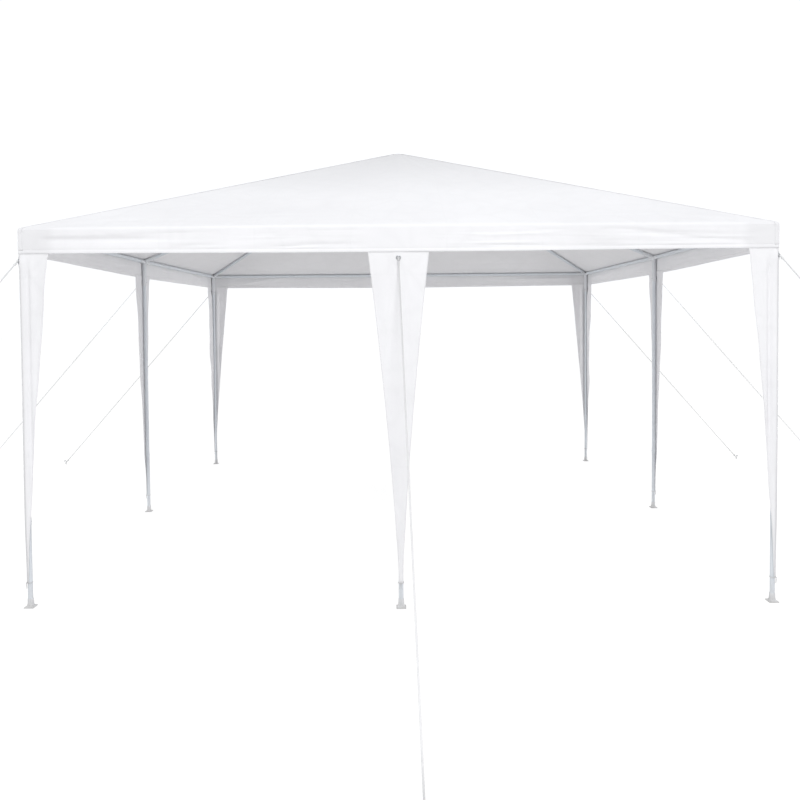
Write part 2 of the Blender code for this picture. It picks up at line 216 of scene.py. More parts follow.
def turned(profile, count, start, way, squareness=0.0):
    """A profile of (radius, height) pairs turned about an axis, with a flat cap at each end.

    With a squareness k, each ring's radius is divided by max(|cos|, |sin|)^k, which squares it off.
    """
    profile, way = np.asarray(profile, float), unit(np.asarray(way, float))
    rising, level = square_to(way)
    cosine, sine = np.cos(circle(count)), np.sin(circle(count))
    square = np.maximum(np.abs(cosine), np.abs(sine)) ** np.reshape(squareness, (-1, 1))
    reach = profile[:, :1] / square
    points = (start + profile[:, 1][:, None, None] * way
              + (reach * cosine)[..., None] * rising + (reach * sine)[..., None] * level)
    return points.reshape(-1, 3), [face[::-1] for face in tube_faces(len(profile), count)]


def joined(shapes):
    """Several (points, faces) shapes as one."""
    points, faces, first = [], [], 0
    for shape_points, shape_faces in shapes:
        points.append(shape_points)
        faces.extend([[first + index for index in face] for face in shape_faces])
        first += len(shape_points)
    return np.concatenate(points), faces


# A stitch of length 1 along X and about 1 thick, with its faces
STITCH_POINTS = np.array([
    (-0.5, 0, -0.2), (-0.28, 0.5, 0), (-0.28, 0, 0.45), (-0.28, -0.5, 0), (0.28, 0.5, 0),
    (0.28, 0, 0.45), (0.28, -0.5, 0), (0.5, 0, -0.2), (-0.28, 0, -0.3), (0.28, 0, -0.3)])
STITCH_FACES = ((0, 2, 1), (0, 3, 2), (0, 1, 8), (0, 8, 3), (1, 2, 5, 4), (2, 3, 6, 5),
                (3, 8, 9, 6), (8, 1, 4, 9), (7, 4, 5), (7, 5, 6), (7, 6, 9), (7, 9, 4))

# Pitch, length and width of the stitches
HEM_STITCH = (0.0085, 0.0062, 0.0011)
EDGE_STITCH = (0.0085, 0.0060, 0.0010)
TAPE_STITCH = (0.0095, 0.0066, 0.0011)


def stitches(line, normals, stitch, inset=0.0):
    """A row of sewn stitches: small spindles, evenly spaced, that lie along a line on the cloth."""
    pitch, length, width = stitch
    steps = np.linalg.norm(np.diff(line, axis=0), axis=1)
    distance = np.concatenate([[0.0], np.cumsum(steps)])
    count = max(2, int((distance[-1] - 2.0 * inset) / pitch))
    wanted = np.linspace(inset, distance[-1] - inset, count)
    places, ways, outward = [
        np.stack([np.interp(wanted, distance, column) for column in values.T], axis=-1)
        for values in (line, unit(np.gradient(line, axis=0)), normals)]
    ways = unit(ways)
    outward = unit(outward - ways * np.sum(outward * ways, axis=-1, keepdims=True))
    axes = np.stack([ways, np.cross(ways, outward), outward], axis=1)
    points = places[:, None] + (STITCH_POINTS * (length, width, width)) @ axes
    return points.reshape(-1, 3), [[len(STITCH_POINTS) * number + index for index in face]
                                   for number in range(count) for face in STITCH_FACES]


# Node layouts, shared shader groups and materials


class NodeLayout:
    """Short ways to add and link the nodes of one tree."""

    def __init__(self, tree):
        self.tree = tree
        self.shader = tree.nodes.get("Principled BSDF")

    def add(self, kind, values=(), **settings):
        """A shader node with its settings, and its inputs set or linked by name or number."""
        node = self.tree.nodes.new("ShaderNode" + kind)
        for key, value in settings.items():
            setattr(node, key, value)
        for key, value in dict(values).items():
            self.put(value, node.inputs[key])
        return node

    def put(self, value, socket):
        """Links a socket or a node's first output, or sets a plain value."""
        if isinstance(value, bpy.types.Node):
            value = value.outputs[0]
        if isinstance(value, bpy.types.NodeSocket):
            self.tree.links.new(value, socket)
        else:
            socket.default_value = value

    def place(self):
        """Object coordinates."""
        return self.add("TexCoord").outputs["Object"]

    def axes(self, vector):
        """The three parts of a vector."""
        return self.add("SeparateXYZ", {0: vector}).outputs

    def maths(self, operation, *values, clamp=False):
        """A Math node of one operation."""
        return self.add("Math", dict(enumerate(values)), operation=operation, use_clamp=clamp)

    def times(self, first, second):
        """A product."""
        return self.maths("MULTIPLY", first, second)

    def noise(self, vector, scale, detail=3.0, roughness=0.5, distortion=0.0):
        """A Noise Texture's value."""
        return self.add("TexNoise", {"Vector": vector, "Scale": scale, "Detail": detail,
                                     "Roughness": roughness, "Distortion": distortion})

    def ranged(self, value, low, high, to_low=0.0, to_high=1.0):
        """A clamped Map Range."""
        return self.add("MapRange", {"Value": value, "From Min": low, "From Max": high,
                                     "To Min": to_low, "To Max": to_high})

    def blended(self, factor, first, second):
        """A mix of two colours."""
        node = self.add("Mix", data_type="RGBA")
        for number, value in ((0, factor), (6, first), (7, second)):
            self.put(value, node.inputs[number])
        return node.outputs[2]

    def tinted(self, colour, tone, low, high, *layers):
        """A colour between two shades of itself by a tone, with layers blended over it in turn.

        Each layer is a factor, and either a shade of the colour or a colour of its own.
        """
        base = self.blended(tone, shade_of(colour, low), shade_of(colour, high))
        for factor, over in layers:
            over = shade_of(colour, over) if isinstance(over, float) else over
            base = self.blended(factor, base, over)
        return base

    def bump(self, height, strength, distance, normal=None):
        """A Bump node, over another where one is given."""
        node = self.add("Bump", {"Height": height, "Strength": strength, "Distance": distance})
        if normal is not None:
            self.put(normal, node.inputs["Normal"])
        return node

    def group(self, name, *values):
        """Outputs of a shared group, which is made on its first use, with its inputs in order."""
        tree = bpy.data.node_groups.get(name) or GROUP_MAKERS[name](name)
        return self.add("Group", dict(enumerate(values)), node_tree=tree).outputs

    def surface(self, **looks):
        """Links the shader's own inputs, named in small letters."""
        for key, value in looks.items():
            self.put(value, self.shader.inputs[key.replace("_", " ").title()])


def shade_of(colour, factor):
    """A colour made lighter or darker, with full alpha."""
    return tuple(min(1.0, channel * factor) for channel in colour[:3]) + (1.0,)


def new_group(name, inputs, outputs):
    """An empty group as (layout, inputs, outputs); an input without a default is a vector."""
    tree = bpy.data.node_groups.new(name, "ShaderNodeTree")
    for socket, default in inputs.items():
        kind = "NodeSocketVector" if default is None else "NodeSocketFloat"
        item = tree.interface.new_socket(socket, in_out="INPUT", socket_type=kind)
        if default is not None:
            item.default_value = default
    for socket in outputs:
        tree.interface.new_socket(socket, in_out="OUTPUT", socket_type="NodeSocketFloat")
    return (NodeLayout(tree), tree.nodes.new("NodeGroupInput").outputs,
            tree.nodes.new("NodeGroupOutput").inputs)


def woven_tapes_group(name):
    """Flat tapes in a plain weave: two sets of rounded ridges that pass over each other in turn."""
    layout, given, result = new_group(name, {"Cloth": None, "Tapes per Metre": 500.0},
                                      ("Height", "Over"))
    scaled = layout.add("VectorMath", {0: given["Cloth"], "Scale": given["Tapes per Metre"]},
                        operation="SCALE")
    warp, weft = [
        layout.maths("POWER", layout.maths("ABSOLUTE", layout.maths(
            "SINE", layout.times(axis, math.pi))), 0.5) for axis in layout.axes(scaled)[:2]]
    over = layout.add("TexChecker", {"Vector": scaled, "Scale": 1.0}).outputs["Fac"]
    under = layout.maths("SUBTRACT", 1.0, over)
    layout.put(layout.maths("ADD", layout.times(warp, over), layout.times(weft, under)),
               result["Height"])
    layout.put(over, result["Over"])
    return layout.tree


def sheet_creases_group(name):
    """Creases of a sheet that was packed folded: crumpled facets and a faint grid of folds as a
    height, and the crease lines as a mask for painted shade.
    """
    layout, given, result = new_group(
        name, {"Cloth": None, "Crumple Scale": 5.0, "Fold Spacing": 0.5}, ("Height", "Creased"))
    warped = layout.noise(given["Cloth"], 2.2, 2.0).outputs["Color"]
    shifted = layout.add("VectorMath", {0: warped, 1: (0.5, 0.5, 0.5)}, operation="SUBTRACT")
    bent = layout.add("VectorMath", {0: shifted, 1: (0.22, 0.22, 0.0), 2: given["Cloth"]},
                      operation="MULTIPLY_ADD")
    facets = layout.add("TexVoronoi", {"Vector": bent, "Scale": given["Crumple Scale"],
                                       "Randomness": 1.0}, feature="DISTANCE_TO_EDGE")
    crumple = layout.ranged(facets, 0.0, 0.14)
    soft = layout.noise(given["Cloth"], 9.0, 3.0, 0.45)
    lines = []
    for axis in layout.axes(given["Cloth"])[:2]:
        share = layout.maths("FRACT", layout.maths("DIVIDE", axis, given["Fold Spacing"]))
        near = layout.maths("ABSOLUTE", layout.maths("SUBTRACT", share, 0.5))
        lines.append(layout.ranged(near, 0.0, 0.018))
    folds = layout.maths("MINIMUM", *lines)
    height = layout.maths("ADD", layout.times(crumple, 0.45), layout.times(folds, 0.14))
    layout.put(layout.maths("ADD", height, layout.times(soft, 0.6)), result["Height"])
    # Painted shade mask: 1 along the crease lines and the folds, 0 between them.
    layout.put(layout.maths("SUBTRACT", 1.0, layout.times(crumple, folds)), result["Creased"])
    return layout.tree


def ground_dust_group(name):
    """Dust that fades with height above the ground, broken up by noise."""
    layout, given, result = new_group(name, {"Place": None, "Reach": 0.35, "Amount": 0.3},
                                      ("Dust",))
    height = layout.maths("DIVIDE", layout.axes(given["Place"])[2], given["Reach"])
    fade = layout.maths("POWER", layout.maths("SUBTRACT", 1.0, height, clamp=True), 1.6)
    patches = layout.ranged(layout.noise(given["Place"], 38.0, 4.0, 0.6), 0.3, 0.75, 0.25, 1.0)
    layout.put(layout.times(layout.times(fade, given["Amount"]), patches), result["Dust"])
    return layout.tree


def fine_grain_group(name):
    """Fine grain of a coating or a moulding, with sparse longer scuffs."""
    layout, given, result = new_group(
        name, {"Place": None, "Grains per Metre": 700.0, "Scuffs per Metre": 40.0},
        ("Height", "Scuffs", "Mottle"))
    grain = layout.noise(given["Place"], given["Grains per Metre"], 2.0)
    stretched = layout.add("Mapping", {"Vector": given["Place"], "Scale": (1.0, 1.0, 0.12)})
    streaked = layout.noise(stretched, given["Scuffs per Metre"], 5.0, 0.7, 0.4)
    scuffs = layout.ranged(streaked, 0.62, 0.72)
    layout.put(layout.maths("SUBTRACT", grain, layout.times(scuffs, 0.6)), result["Height"])
    layout.put(scuffs, result["Scuffs"])
    layout.put(layout.noise(given["Place"], 6.0, 3.0), result["Mottle"])
    return layout.tree


GROUP_MAKERS = {"Woven Tapes": woven_tapes_group, "Sheet Creases": sheet_creases_group,
                "Ground Dust": ground_dust_group, "Fine Grain": fine_grain_group}
PALE_DUST = (0.42, 0.39, 0.35, 1.0)
GREY_DUST = (0.36, 0.33, 0.29, 1.0)
DARK_DUST = (0.30, 0.27, 0.23, 1.0)
BARE_STEEL = (0.46, 0.47, 0.49, 1.0)


def sheet_material(layout, colour, dust_amount):
    """Coated woven plastic sheet: weave, packing creases, mottling and dust, with painted shade
    along the creases, down the skirts' corner folds, towards the peak and on the doubled corners.
    """
    cloth = layout.add("UVMap", uv_map="cut").outputs["UV"]
    place = layout.place()
    x, y, z = layout.axes(place)
    weave = layout.group("Woven Tapes", cloth, 420.0)
    creases = layout.group("Sheet Creases", cloth)
    off_fold = layout.maths("ABSOLUTE", layout.maths(
        "SUBTRACT", layout.maths("ABSOLUTE", x), layout.maths("ABSOLUTE", y)))
    # Painted shade: a darker band down the corner folds of the corner skirts, below the valance.
    painted_corner_shade = layout.times(layout.ranged(off_fold, 0.008, 0.020, 0.85, 0.0),
                               layout.ranged(z, VALANCE_BOTTOM - 0.02, VALANCE_BOTTOM, 1.0, 0.0))
    across, down, _ = layout.axes(cloth)
    # Painted shade: the doubled cloth of the corner patches on the valance is painted darker.
    doubled = layout.times(
        layout.ranged(layout.maths("ABSOLUTE", across), PATCH_EDGE - 0.043, PATCH_EDGE + 0.007,
                      0.0, 0.33),
        layout.ranged(down, 0.0, 0.004))
    base = layout.tinted(
        colour, layout.ranged(layout.noise(place, 1.7, 4.0, 0.55), 0.3, 0.7), 0.975, 1.02,
        # Painted shade: the sheet is darker along the creases.
        (layout.times(creases["Creased"], 0.10), 0.86), (layout.times(weave["Over"], 0.05), 0.93),
        (layout.group("Ground Dust", place, 0.9, dust_amount)["Dust"], PALE_DUST),
        # Painted shade: darker towards the peak.
        (layout.ranged(z, 2.3, 2.84, 0.0, 0.8), 0.8), (painted_corner_shade, 0.7), (doubled, 0.8))
    coarse = layout.bump(creases["Height"], 0.35, 0.004)
    layout.surface(base_color=base, normal=layout.bump(weave["Height"], 0.25, 0.0003, coarse),
                   roughness=layout.ranged(layout.noise(place, 14.0, 4.0), 0.3, 0.7, 0.55, 0.68))
    layout.shader.inputs["Specular IOR Level"].default_value = 0.25


def painted_material(layout, colour, roughness, bare_share):
    """Satin powder coat on steel: orange peel, scuffs that show a little metal, and ground dust."""
    place = layout.place()
    grain = layout.group("Fine Grain", place, 420.0, 26.0)
    dust = layout.group("Ground Dust", place, 0.3, 0.35)["Dust"]
    worn = layout.times(grain["Scuffs"], bare_share)
    rough = layout.maths("ADD", layout.times(grain["Mottle"], 0.14), roughness - 0.07)
    layout.surface(
        base_color=layout.tinted(colour, grain["Mottle"], 0.94, 1.05,
                                 (worn, BARE_STEEL), (dust, GREY_DUST)),
        metallic=layout.times(worn, 0.7), normal=layout.bump(grain["Height"], 0.3, 0.0004),
        roughness=layout.maths("ADD", rough, layout.times(dust, 0.3)))


def plastic_material(layout, colour):
    """Moulded plastic: fine grain, scuffs and dust from the ground."""
    place = layout.place()
    grain = layout.group("Fine Grain", place, 1500.0, 90.0)
    dust = layout.group("Ground Dust", place, 0.05, 0.55)["Dust"]
    layout.surface(
        base_color=layout.tinted(colour, grain["Mottle"], 0.9, 1.08,
                                 (layout.times(grain["Scuffs"], 0.4), 1.3), (dust, DARK_DUST)),
        roughness=layout.ranged(grain["Mottle"], 0.3, 0.7, 0.46, 0.62),
        normal=layout.bump(grain["Height"], 0.35, 0.0003))


def steel_material(layout, colour):
    """Zinc plated steel: dull spangle in the colour and the gloss, with fine scratches."""
    place = layout.place()
    grain = layout.group("Fine Grain", place, 900.0, 160.0)
    spangle = layout.add("TexVoronoi", {"Vector": place, "Scale": 420.0}).outputs["Color"]
    tone = layout.add("SeparateColor", {0: spangle}).outputs[0]
    layout.surface(
        base_color=layout.tinted(colour, tone, 0.82, 1.12,
                                 (layout.times(grain["Scuffs"], 0.3), 0.6)),
        roughness=layout.ranged(tone, 0.0, 1.0, 0.30, 0.46),
        normal=layout.bump(grain["Height"], 0.25, 0.0002))
    layout.shader.inputs["Metallic"].default_value = 1.0


def cord_material(layout, colour):
    """Twisted cord: fine fibres and a matt fuzz, with painted shade high on the front and back
    ropes and on the side ropes towards the back, and darker near the ground, as dirt and as painted
    shade on the ties.
    """
    place = layout.place()
    x, y, z = layout.axes(place)
    fibres = layout.noise(place, 900.0, 3.0, 0.6, 0.6)
    middle = layout.ranged(layout.maths("ABSOLUTE", x), 0.4, 0.6, 1.0, 0.0)
    # Painted shade: the front and back ropes are darker the higher they run, towards the eyelet.
    painted_upper_shade = layout.times(layout.ranged(z, -0.4, EYELET_HEIGHT), middle)
    # Painted shade: the side ropes are darker, more so towards the back.
    painted_far_shade = layout.maths("SUBTRACT", layout.ranged(y, 0.3, 2.0, 0.3, 0.8), middle)
    layout.surface(
        base_color=layout.tinted(
            colour, layout.ranged(layout.noise(place, 60.0, 3.0), 0.3, 0.7), 0.92, 1.05,
            (layout.ranged(fibres, 0.35, 0.65, 0.2, 0.0), 0.75), (painted_upper_shade, 0.62),
            # Darker near the ground: dirt, and painted shade on the skirts' ties.
            (painted_far_shade, 0.62), (layout.ranged(z, 0.10, 0.22, 0.75, 0.0), 0.5)),
        roughness=layout.ranged(fibres, 0.3, 0.7, 0.72, 0.9),
        normal=layout.bump(fibres, 0.5, 0.0006))
    layout.shader.inputs["Sheen Weight"].default_value = 0.15


# Finishes: the slot, the material's name and maker and the setting of its colour; then the sheet's
# dust, or the paint's roughness and how much bare steel its scuffs show
FINISHES = {
    "sheet": ("white_sheet", "White Woven Sheet", sheet_material, "tent_sheet.colour", 0.10),
    "thread": ("white_sheet", "White Thread", cord_material, "tent_sheet.thread_colour"),
    "tube": ("tube_paint", "Tube Paint", painted_material, "tent_frame.tube_colour", 0.38, 0.35),
    "socket": ("connector_paint", "Socket Paint", painted_material, "tent_frame.socket_colour",
               0.44, 0.5),
    "foot": ("foot_plastic", "Foot Plastic", plastic_material, "tent_frame.foot_colour"),
    "steel": ("plated_steel", "Plated Steel", steel_material, "tent_frame.steel_colour"),
    "cord": ("white_cord", "White Cord", cord_material, "tent_rope.cord_colour"),
}
CREASE_ANGLE = math.radians(40.0)


def new_material(name):
    """An empty node material and its layout."""
    material = bpy.data.materials.new(name)
    material.use_nodes = True
    return material, NodeLayout(material.node_tree)


def add_piece(name, shape, finish, nodes=(), uv=None, quarter=0, creased=True):
    """A finished piece from points and faces, which rides on the tent and stands for CAD nodes."""
    points, faces = shape
    mesh = bpy.data.meshes.new(name)
    mesh.from_pydata(quarter_turned(points, quarter).reshape(-1, 3).tolist(), [], faces)
    if uv is not None:
        mesh.uv_layers.new(name="cut").data.foreach_set("uv", uv.astype(np.float32).ravel())
    mesh.shade_smooth()
    if creased:
        mesh.set_sharp_from_angle(angle=CREASE_ANGLE)
    slot, label, dress, colour, *values = FINISHES[finish]
    material = bpy.data.materials.get(label)
    if material is None:
        material, layout = new_material(label)
        dress(layout, tuple(bpy.context.scene.path_resolve(colour)), *values)
    mesh.materials.append(material)
    piece = bpy.data.objects.new(name, mesh)
    bpy.context.scene.collection.objects.link(piece)
    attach(piece, "root")
    if nodes:
        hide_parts(*nodes)
    return piece


def thicken(piece, thickness):
    """Gives a sheet its thickness, inwards from its outer face, with a closed rim."""
    modifier = piece.modifiers.new("Thickness", "SOLIDIFY")
    modifier.thickness = thickness
    modifier.offset = -1.0
    modifier.use_rim = True


# The cover: the rounding of its peak as a share of the slope, the thickness of one more layer, the
# strength of the listed creases beside the random folds, and the hip tapes

PEAK_SOFTNESS = 0.006
DOUBLED_CLOTH = 0.0006
CREASE_SCALE = 150.0
TAPE_STANDOFF = 0.0011
TAPE_END_GAP = 0.0145
TAPE_THICKNESS = 0.0009
TAPE_STITCH_LINE = 0.8
HEM_ROW = -3


def eave_at(distance):
    """The eave line of the front side at signed distances from its middle leg.

    The line runs straight over an eave tube to the corner leg, and then in an arc round that leg up
    to the corner's diagonal. Gives the tube's centre point, the outward direction, the roof's tilt
    there, and the share of the way from the corner leg to the middle leg.
    """
    sign = np.where(distance < 0.0, -1.0, 1.0)
    along = np.abs(distance)
    run = np.minimum(along, EAVE_RUN)
    turn = np.maximum(along - EAVE_RUN, 0.0) / SHEET_REACH
    centre = np.stack([sign * run * ALONG_EAVE[0], run * ALONG_EAVE[1] - MIDDLE_REACH], axis=-1)
    angle = np.where(along < 1e-9, 0.0, BULGE_ANGLE + turn)
    outward = np.stack([sign * np.sin(angle), -np.cos(angle)], axis=-1)
    tilt = FACET_TILT + (HIP_TILT - FACET_TILT) * smooth_step(0.0, CORNER_TURN, turn)
    return centre, outward, tilt, 1.0 - run / EAVE_RUN


def leaning(outward, angle):
    """Directions that lean outward by an angle from straight up."""
    return np.concatenate([outward * np.sin(angle)[..., None], np.cos(angle)[..., None]], axis=-1)


def roof_surface(distance, level, standoff=0.0):
    """Roof points at eave distances and at levels from 0, the peak, to 1, the eave.

    Each point lies on the straight line from the peak to where the roof leaves the eave's rounding.
    The peak is rounded as a hyperbola, and the standoff lifts the point off the sheet's outer face.
    """
    centre, outward, tilt, share = eave_at(distance)
    normal = leaning(outward, tilt)
    lifted = (SHEET_REACH + standoff) * normal
    fall = np.sqrt(np.square(level) + PEAK_SOFTNESS ** 2) / math.sqrt(1.0 + PEAK_SOFTNESS ** 2)
    peak = PEAK_HEIGHT + standoff
    z = peak - (peak - EAVE_HEIGHT - lifted[..., 2]) * fall
    flat = (centre + lifted[..., :2]) * level[..., None]
    return np.concatenate([flat, z[..., None]], axis=-1), normal, share


def edge_surface(distance, angle, drop, standoff=0.0):
    """Points round the eave at an angle from straight up, and then down by a drop below it."""
    centre, outward, _, share = eave_at(distance)
    normal = leaning(outward, angle)
    height = np.broadcast_to(EAVE_HEIGHT, share.shape)[..., None]
    points = np.concatenate([centre, height], axis=-1) + (SHEET_REACH + standoff) * normal
    points[..., 2] -= drop
    return points, normal, share


def streaks(along, across, rng, count, reach, band, lengths, widths):
    """Long shallow folds: each is a bell across, times another along, with its own slight slope."""
    total = np.zeros(np.broadcast(along, across).shape)
    for _ in range(count):
        place = rng.uniform(-reach, reach)
        level = rng.uniform(*band)
        slope = rng.uniform(-0.035, 0.035)
        length = rng.uniform(*lengths)
        width = rng.uniform(*widths)
        depth = rng.choice((-1.0, 1.0)) * rng.uniform(0.4, 1.0)
        offset = across - level - slope * (along - place)
        total = total + depth * bell(offset, width) * bell(along - place, length)
    return total


def roof_relief(distance, level, share, rng, depth):
    """How far the roof cloth stands proud between the tubes.

    Long folds run along the eaves and dents down the slope. Fans of ridges leave the corners and
    the peak: sines of the angle round them, which fade with distance.
    """
    between = 4.0 * share * (1.0 - share)
    x = distance * level
    up = (1.0 - level) * SLANT
    folds = streaks(x, up, rng, count=34, reach=1.7, band=(0.015, 0.33),
                    lengths=(0.12, 0.5), widths=(0.009, 0.022))
    dents = streaks(up, x, rng, count=16, reach=1.9, band=(-1.2, 1.2),
                    lengths=(0.3, 0.7), widths=(0.04, 0.11))
    from_corner = SIDE_HALF - np.abs(x)
    spread, radius = np.arctan2(up, from_corner), np.hypot(up, from_corner)
    fan = (np.sin(17.0 * spread + rng.uniform(0.0, 6.0))
           * bell(radius, 0.8) * radius / (radius + 0.1))
    rays = (np.sin(9.0 * math.pi * share + rng.uniform(0.0, 6.0))
            * bell(level, 0.3) * level / (level + 0.03))
    return depth * (0.55 * folds * smooth_step(0.0, 0.02, up) * np.sqrt(between)
                    + 0.8 * dents * between * smooth_step(0.0, 0.3, up)
                    + 0.8 * fan * np.sin(np.clip(spread / 0.8, 0.0, 1.0) * math.pi)
                    + 0.7 * rays * between)


# Creases of a valance: start and end along the eave from its middle, the drop at each, width and
# steepness. A negative steepness is a groove, a positive one a ridge.
VALANCE_CREASES = (
    (-1.95, -1.25, 0.039, 0.041, 0.0126, -1.35), (-1.52, -1.03, 0.028, 0.008, 0.0100, -0.6),
    (-1.30, -0.87, 0.063, 0.056, 0.0084, 0.5), (-1.22, -1.16, 0.084, 0.075, 0.0042, 1.2),
    (-1.11, -1.00, 0.080, 0.077, 0.0042, -1.0), (-1.03, -0.89, 0.092, 0.088, 0.0042, 1.2),
    (-0.77, -0.68, 0.037, 0.018, 0.0047, -1.1), (-0.69, -0.40, 0.067, 0.055, 0.0084, 0.5),
    (-0.64, -0.51, 0.094, 0.088, 0.0042, -1.4), (-0.59, -0.42, 0.102, 0.096, 0.0042, 1.2),
    (-0.52, -0.20, 0.082, 0.077, 0.0068, -0.8), (-0.47, -0.19, 0.009, 0.006, 0.0042, -0.8),
    (0.37, 0.53, 0.035, 0.044, 0.0053, 0.9), (0.51, 0.80, 0.041, 0.029, 0.0053, 0.9),
    (0.72, 0.85, 0.014, 0.010, 0.0042, -1.0), (0.39, 0.65, 0.084, 0.080, 0.0053, 0.9),
    (0.44, 0.80, 0.090, 0.097, 0.0053, -1.2), (0.89, 1.09, 0.098, 0.092, 0.0042, -1.0),
    (1.07, 1.17, 0.066, 0.055, 0.0047, 0.9), (1.08, 1.34, -0.010, 0.030, 0.0084, -0.9),
    (1.29, 1.60, 0.022, 0.063, 0.0095, -1.0), (1.54, 1.87, 0.060, 0.078, 0.0084, -0.9),
    (1.32, 1.78, 0.024, 0.048, 0.0089, -0.6), (1.38, 1.72, 0.089, 0.086, 0.0095, 0.5),
    (1.11, 1.56, 0.102, 0.100, 0.0047, -0.8), (1.58, 1.83, 0.096, 0.101, 0.0047, -0.9))


def listed_creases(distance, drop, quarter):
    """The listed creases, each a bell across a sloping line, wider below, that fades at its ends.

    Each side takes them with its own shift, and every second side mirrored.
    """
    direction, shift = (1.0, -1.0)[quarter % 2], 0.03 * quarter
    relief = np.zeros(drop.shape)
    for start, end, start_drop, end_drop, width, steepness in VALANCE_CREASES:
        part = (direction * distance - shift - start) / (end - start)
        line = start_drop + (end_drop - start_drop) * np.clip(part, -0.2, 1.2) + 0.6 * width
        window = smooth_step(-0.18, 0.22, part) * (1.0 - smooth_step(0.78, 1.18, part))
        below = np.where(drop > line, 2.2 * width, width)
        relief = relief + steepness * width * bell(drop - line, below) * window
    return relief


def valance_relief(distance, drop, share, rng, depth, quarter):
    """Waves of the hanging strip: listed creases, thin level folds at random, and a slow sway.

    The doubled cloth at the corners and behind the middle skirt stands proud by its thickness.
    """
    folds = streaks(distance, drop, rng, count=22, reach=1.85, band=(0.022, 0.102),
                    lengths=(0.12, 0.42), widths=(0.0045, 0.0085))
    creases = streaks(distance, drop, rng, count=64, reach=1.75, band=(0.012, 0.104),
                      lengths=(0.05, 0.17), widths=(0.0022, 0.0040))
    side = np.abs(distance)
    window = smooth_step(0.004, 0.018, drop) * (1.0 - smooth_step(0.100, 0.110, drop))
    loose = (smooth_step(SKIRT_EDGE, SKIRT_EDGE + 0.032, side)
             * (1.0 - smooth_step(PATCH_EDGE - 0.005, PATCH_EDGE + 0.005, side)))
    listed = listed_creases(distance, drop, quarter)
    relief = (0.32 * folds + 0.22 * creases + CREASE_SCALE * listed) * window * loose
    tucked = (bell(drop - 0.0015, 0.0022)
              * smooth_step(PATCH_EDGE - 0.043, PATCH_EDGE + 0.047, side))
    lengths, phases = rng.uniform(0.35, 1.1, 5), rng.uniform(0.0, 6.3, 5)
    waves = sum(np.sin(FULL_TURN * distance / length + phase)
                for length, phase in zip(lengths, phases))
    sway = np.square(np.clip(drop / 0.12, 0.0, 1.1)) * 4.0 * share * (1.0 - share)
    doubled = (1.0 - smooth_step(SKIRT_EDGE, SKIRT_EDGE + 0.0025, side)
               + smooth_step(PATCH_EDGE, PATCH_EDGE + 0.0025, side))
    return (depth * (1.15 * (relief - 0.9 * tucked) + 0.75 * waves * sway)
            + DOUBLED_CLOTH * doubled * smooth_step(0.0, 0.004, drop))


def cover_side(settings, distance, quarter):
    """One side of the cover as points, outward normals and cut positions, from the peak to the hem.

    The roof's sag is 27abc, with a, b and c a point's shares of its triangle's corners, at the peak
    and at two neighbouring legs. The hem is a step outwards under a stitched groove.
    """
    rng = np.random.default_rng(settings.seed + quarter)
    levels = np.concatenate([np.linspace(0.004, 0.85, 28), np.linspace(0.85, 1.0, 33)[1:]])[:, None]
    spread, level = np.broadcast_arrays(distance, levels)
    roof, roof_normal, share = roof_surface(spread, level)
    sag = 27.0 * (1.0 - level) * np.square(level) * share * (1.0 - share)
    lift = roof_relief(spread, level, share, rng, settings.wrinkle_depth) - settings.roof_sag * sag
    roof = roof + roof_normal * lift[..., None]

    _, _, tilt, share = eave_at(distance)
    hem = settings.hem_width
    hem_steps = np.array([hem - 0.0006, hem - 0.0012, 0.6 * hem, 0.25 * hem, 0.0006, 0.0])[:, None]
    deepest = VALANCE_DROP + settings.hem_drop * np.square(np.sin(share * QUARTER_TURN))
    above = np.linspace(0.0, 1.0, 35)[1:, None] * (deepest - hem)
    drop = np.concatenate([above, deepest - hem_steps])
    turn = np.linspace(0.0, 1.0, 8)[1:, None]
    angle = np.concatenate([tilt + (QUARTER_TURN - tilt) * turn, np.full(drop.shape, QUARTER_TURN)])
    round_rows = len(turn)
    falls = np.concatenate([np.zeros((round_rows, drop.shape[1])), drop])
    edge, edge_normal, share = edge_surface(np.broadcast_to(distance, angle.shape), angle, falls)
    above_hem = deepest - drop
    lift = (valance_relief(distance, drop, share[round_rows:], rng, settings.wrinkle_depth, quarter)
            + 0.0008 * smooth_step(hem, hem - 0.001, above_hem)
            - 0.0012 * bell(above_hem - hem - 0.004, 0.0045))
    edge[round_rows:] += edge_normal[round_rows:] * lift[..., None]

    along = np.concatenate([spread * level, np.broadcast_to(distance, angle.shape)])
    rounding = np.broadcast_to(SHEET_REACH * turn, falls[:round_rows].shape)
    down = np.concatenate([(level - 1.0) * SLANT, rounding, SHEET_REACH + drop])
    points, normals = [quarter_turned(np.concatenate(parts)[:, :-1], quarter)
                       for parts in ((roof, edge), (roof_normal, edge_normal))]
    return points, normals, np.stack([along, down], axis=-1)


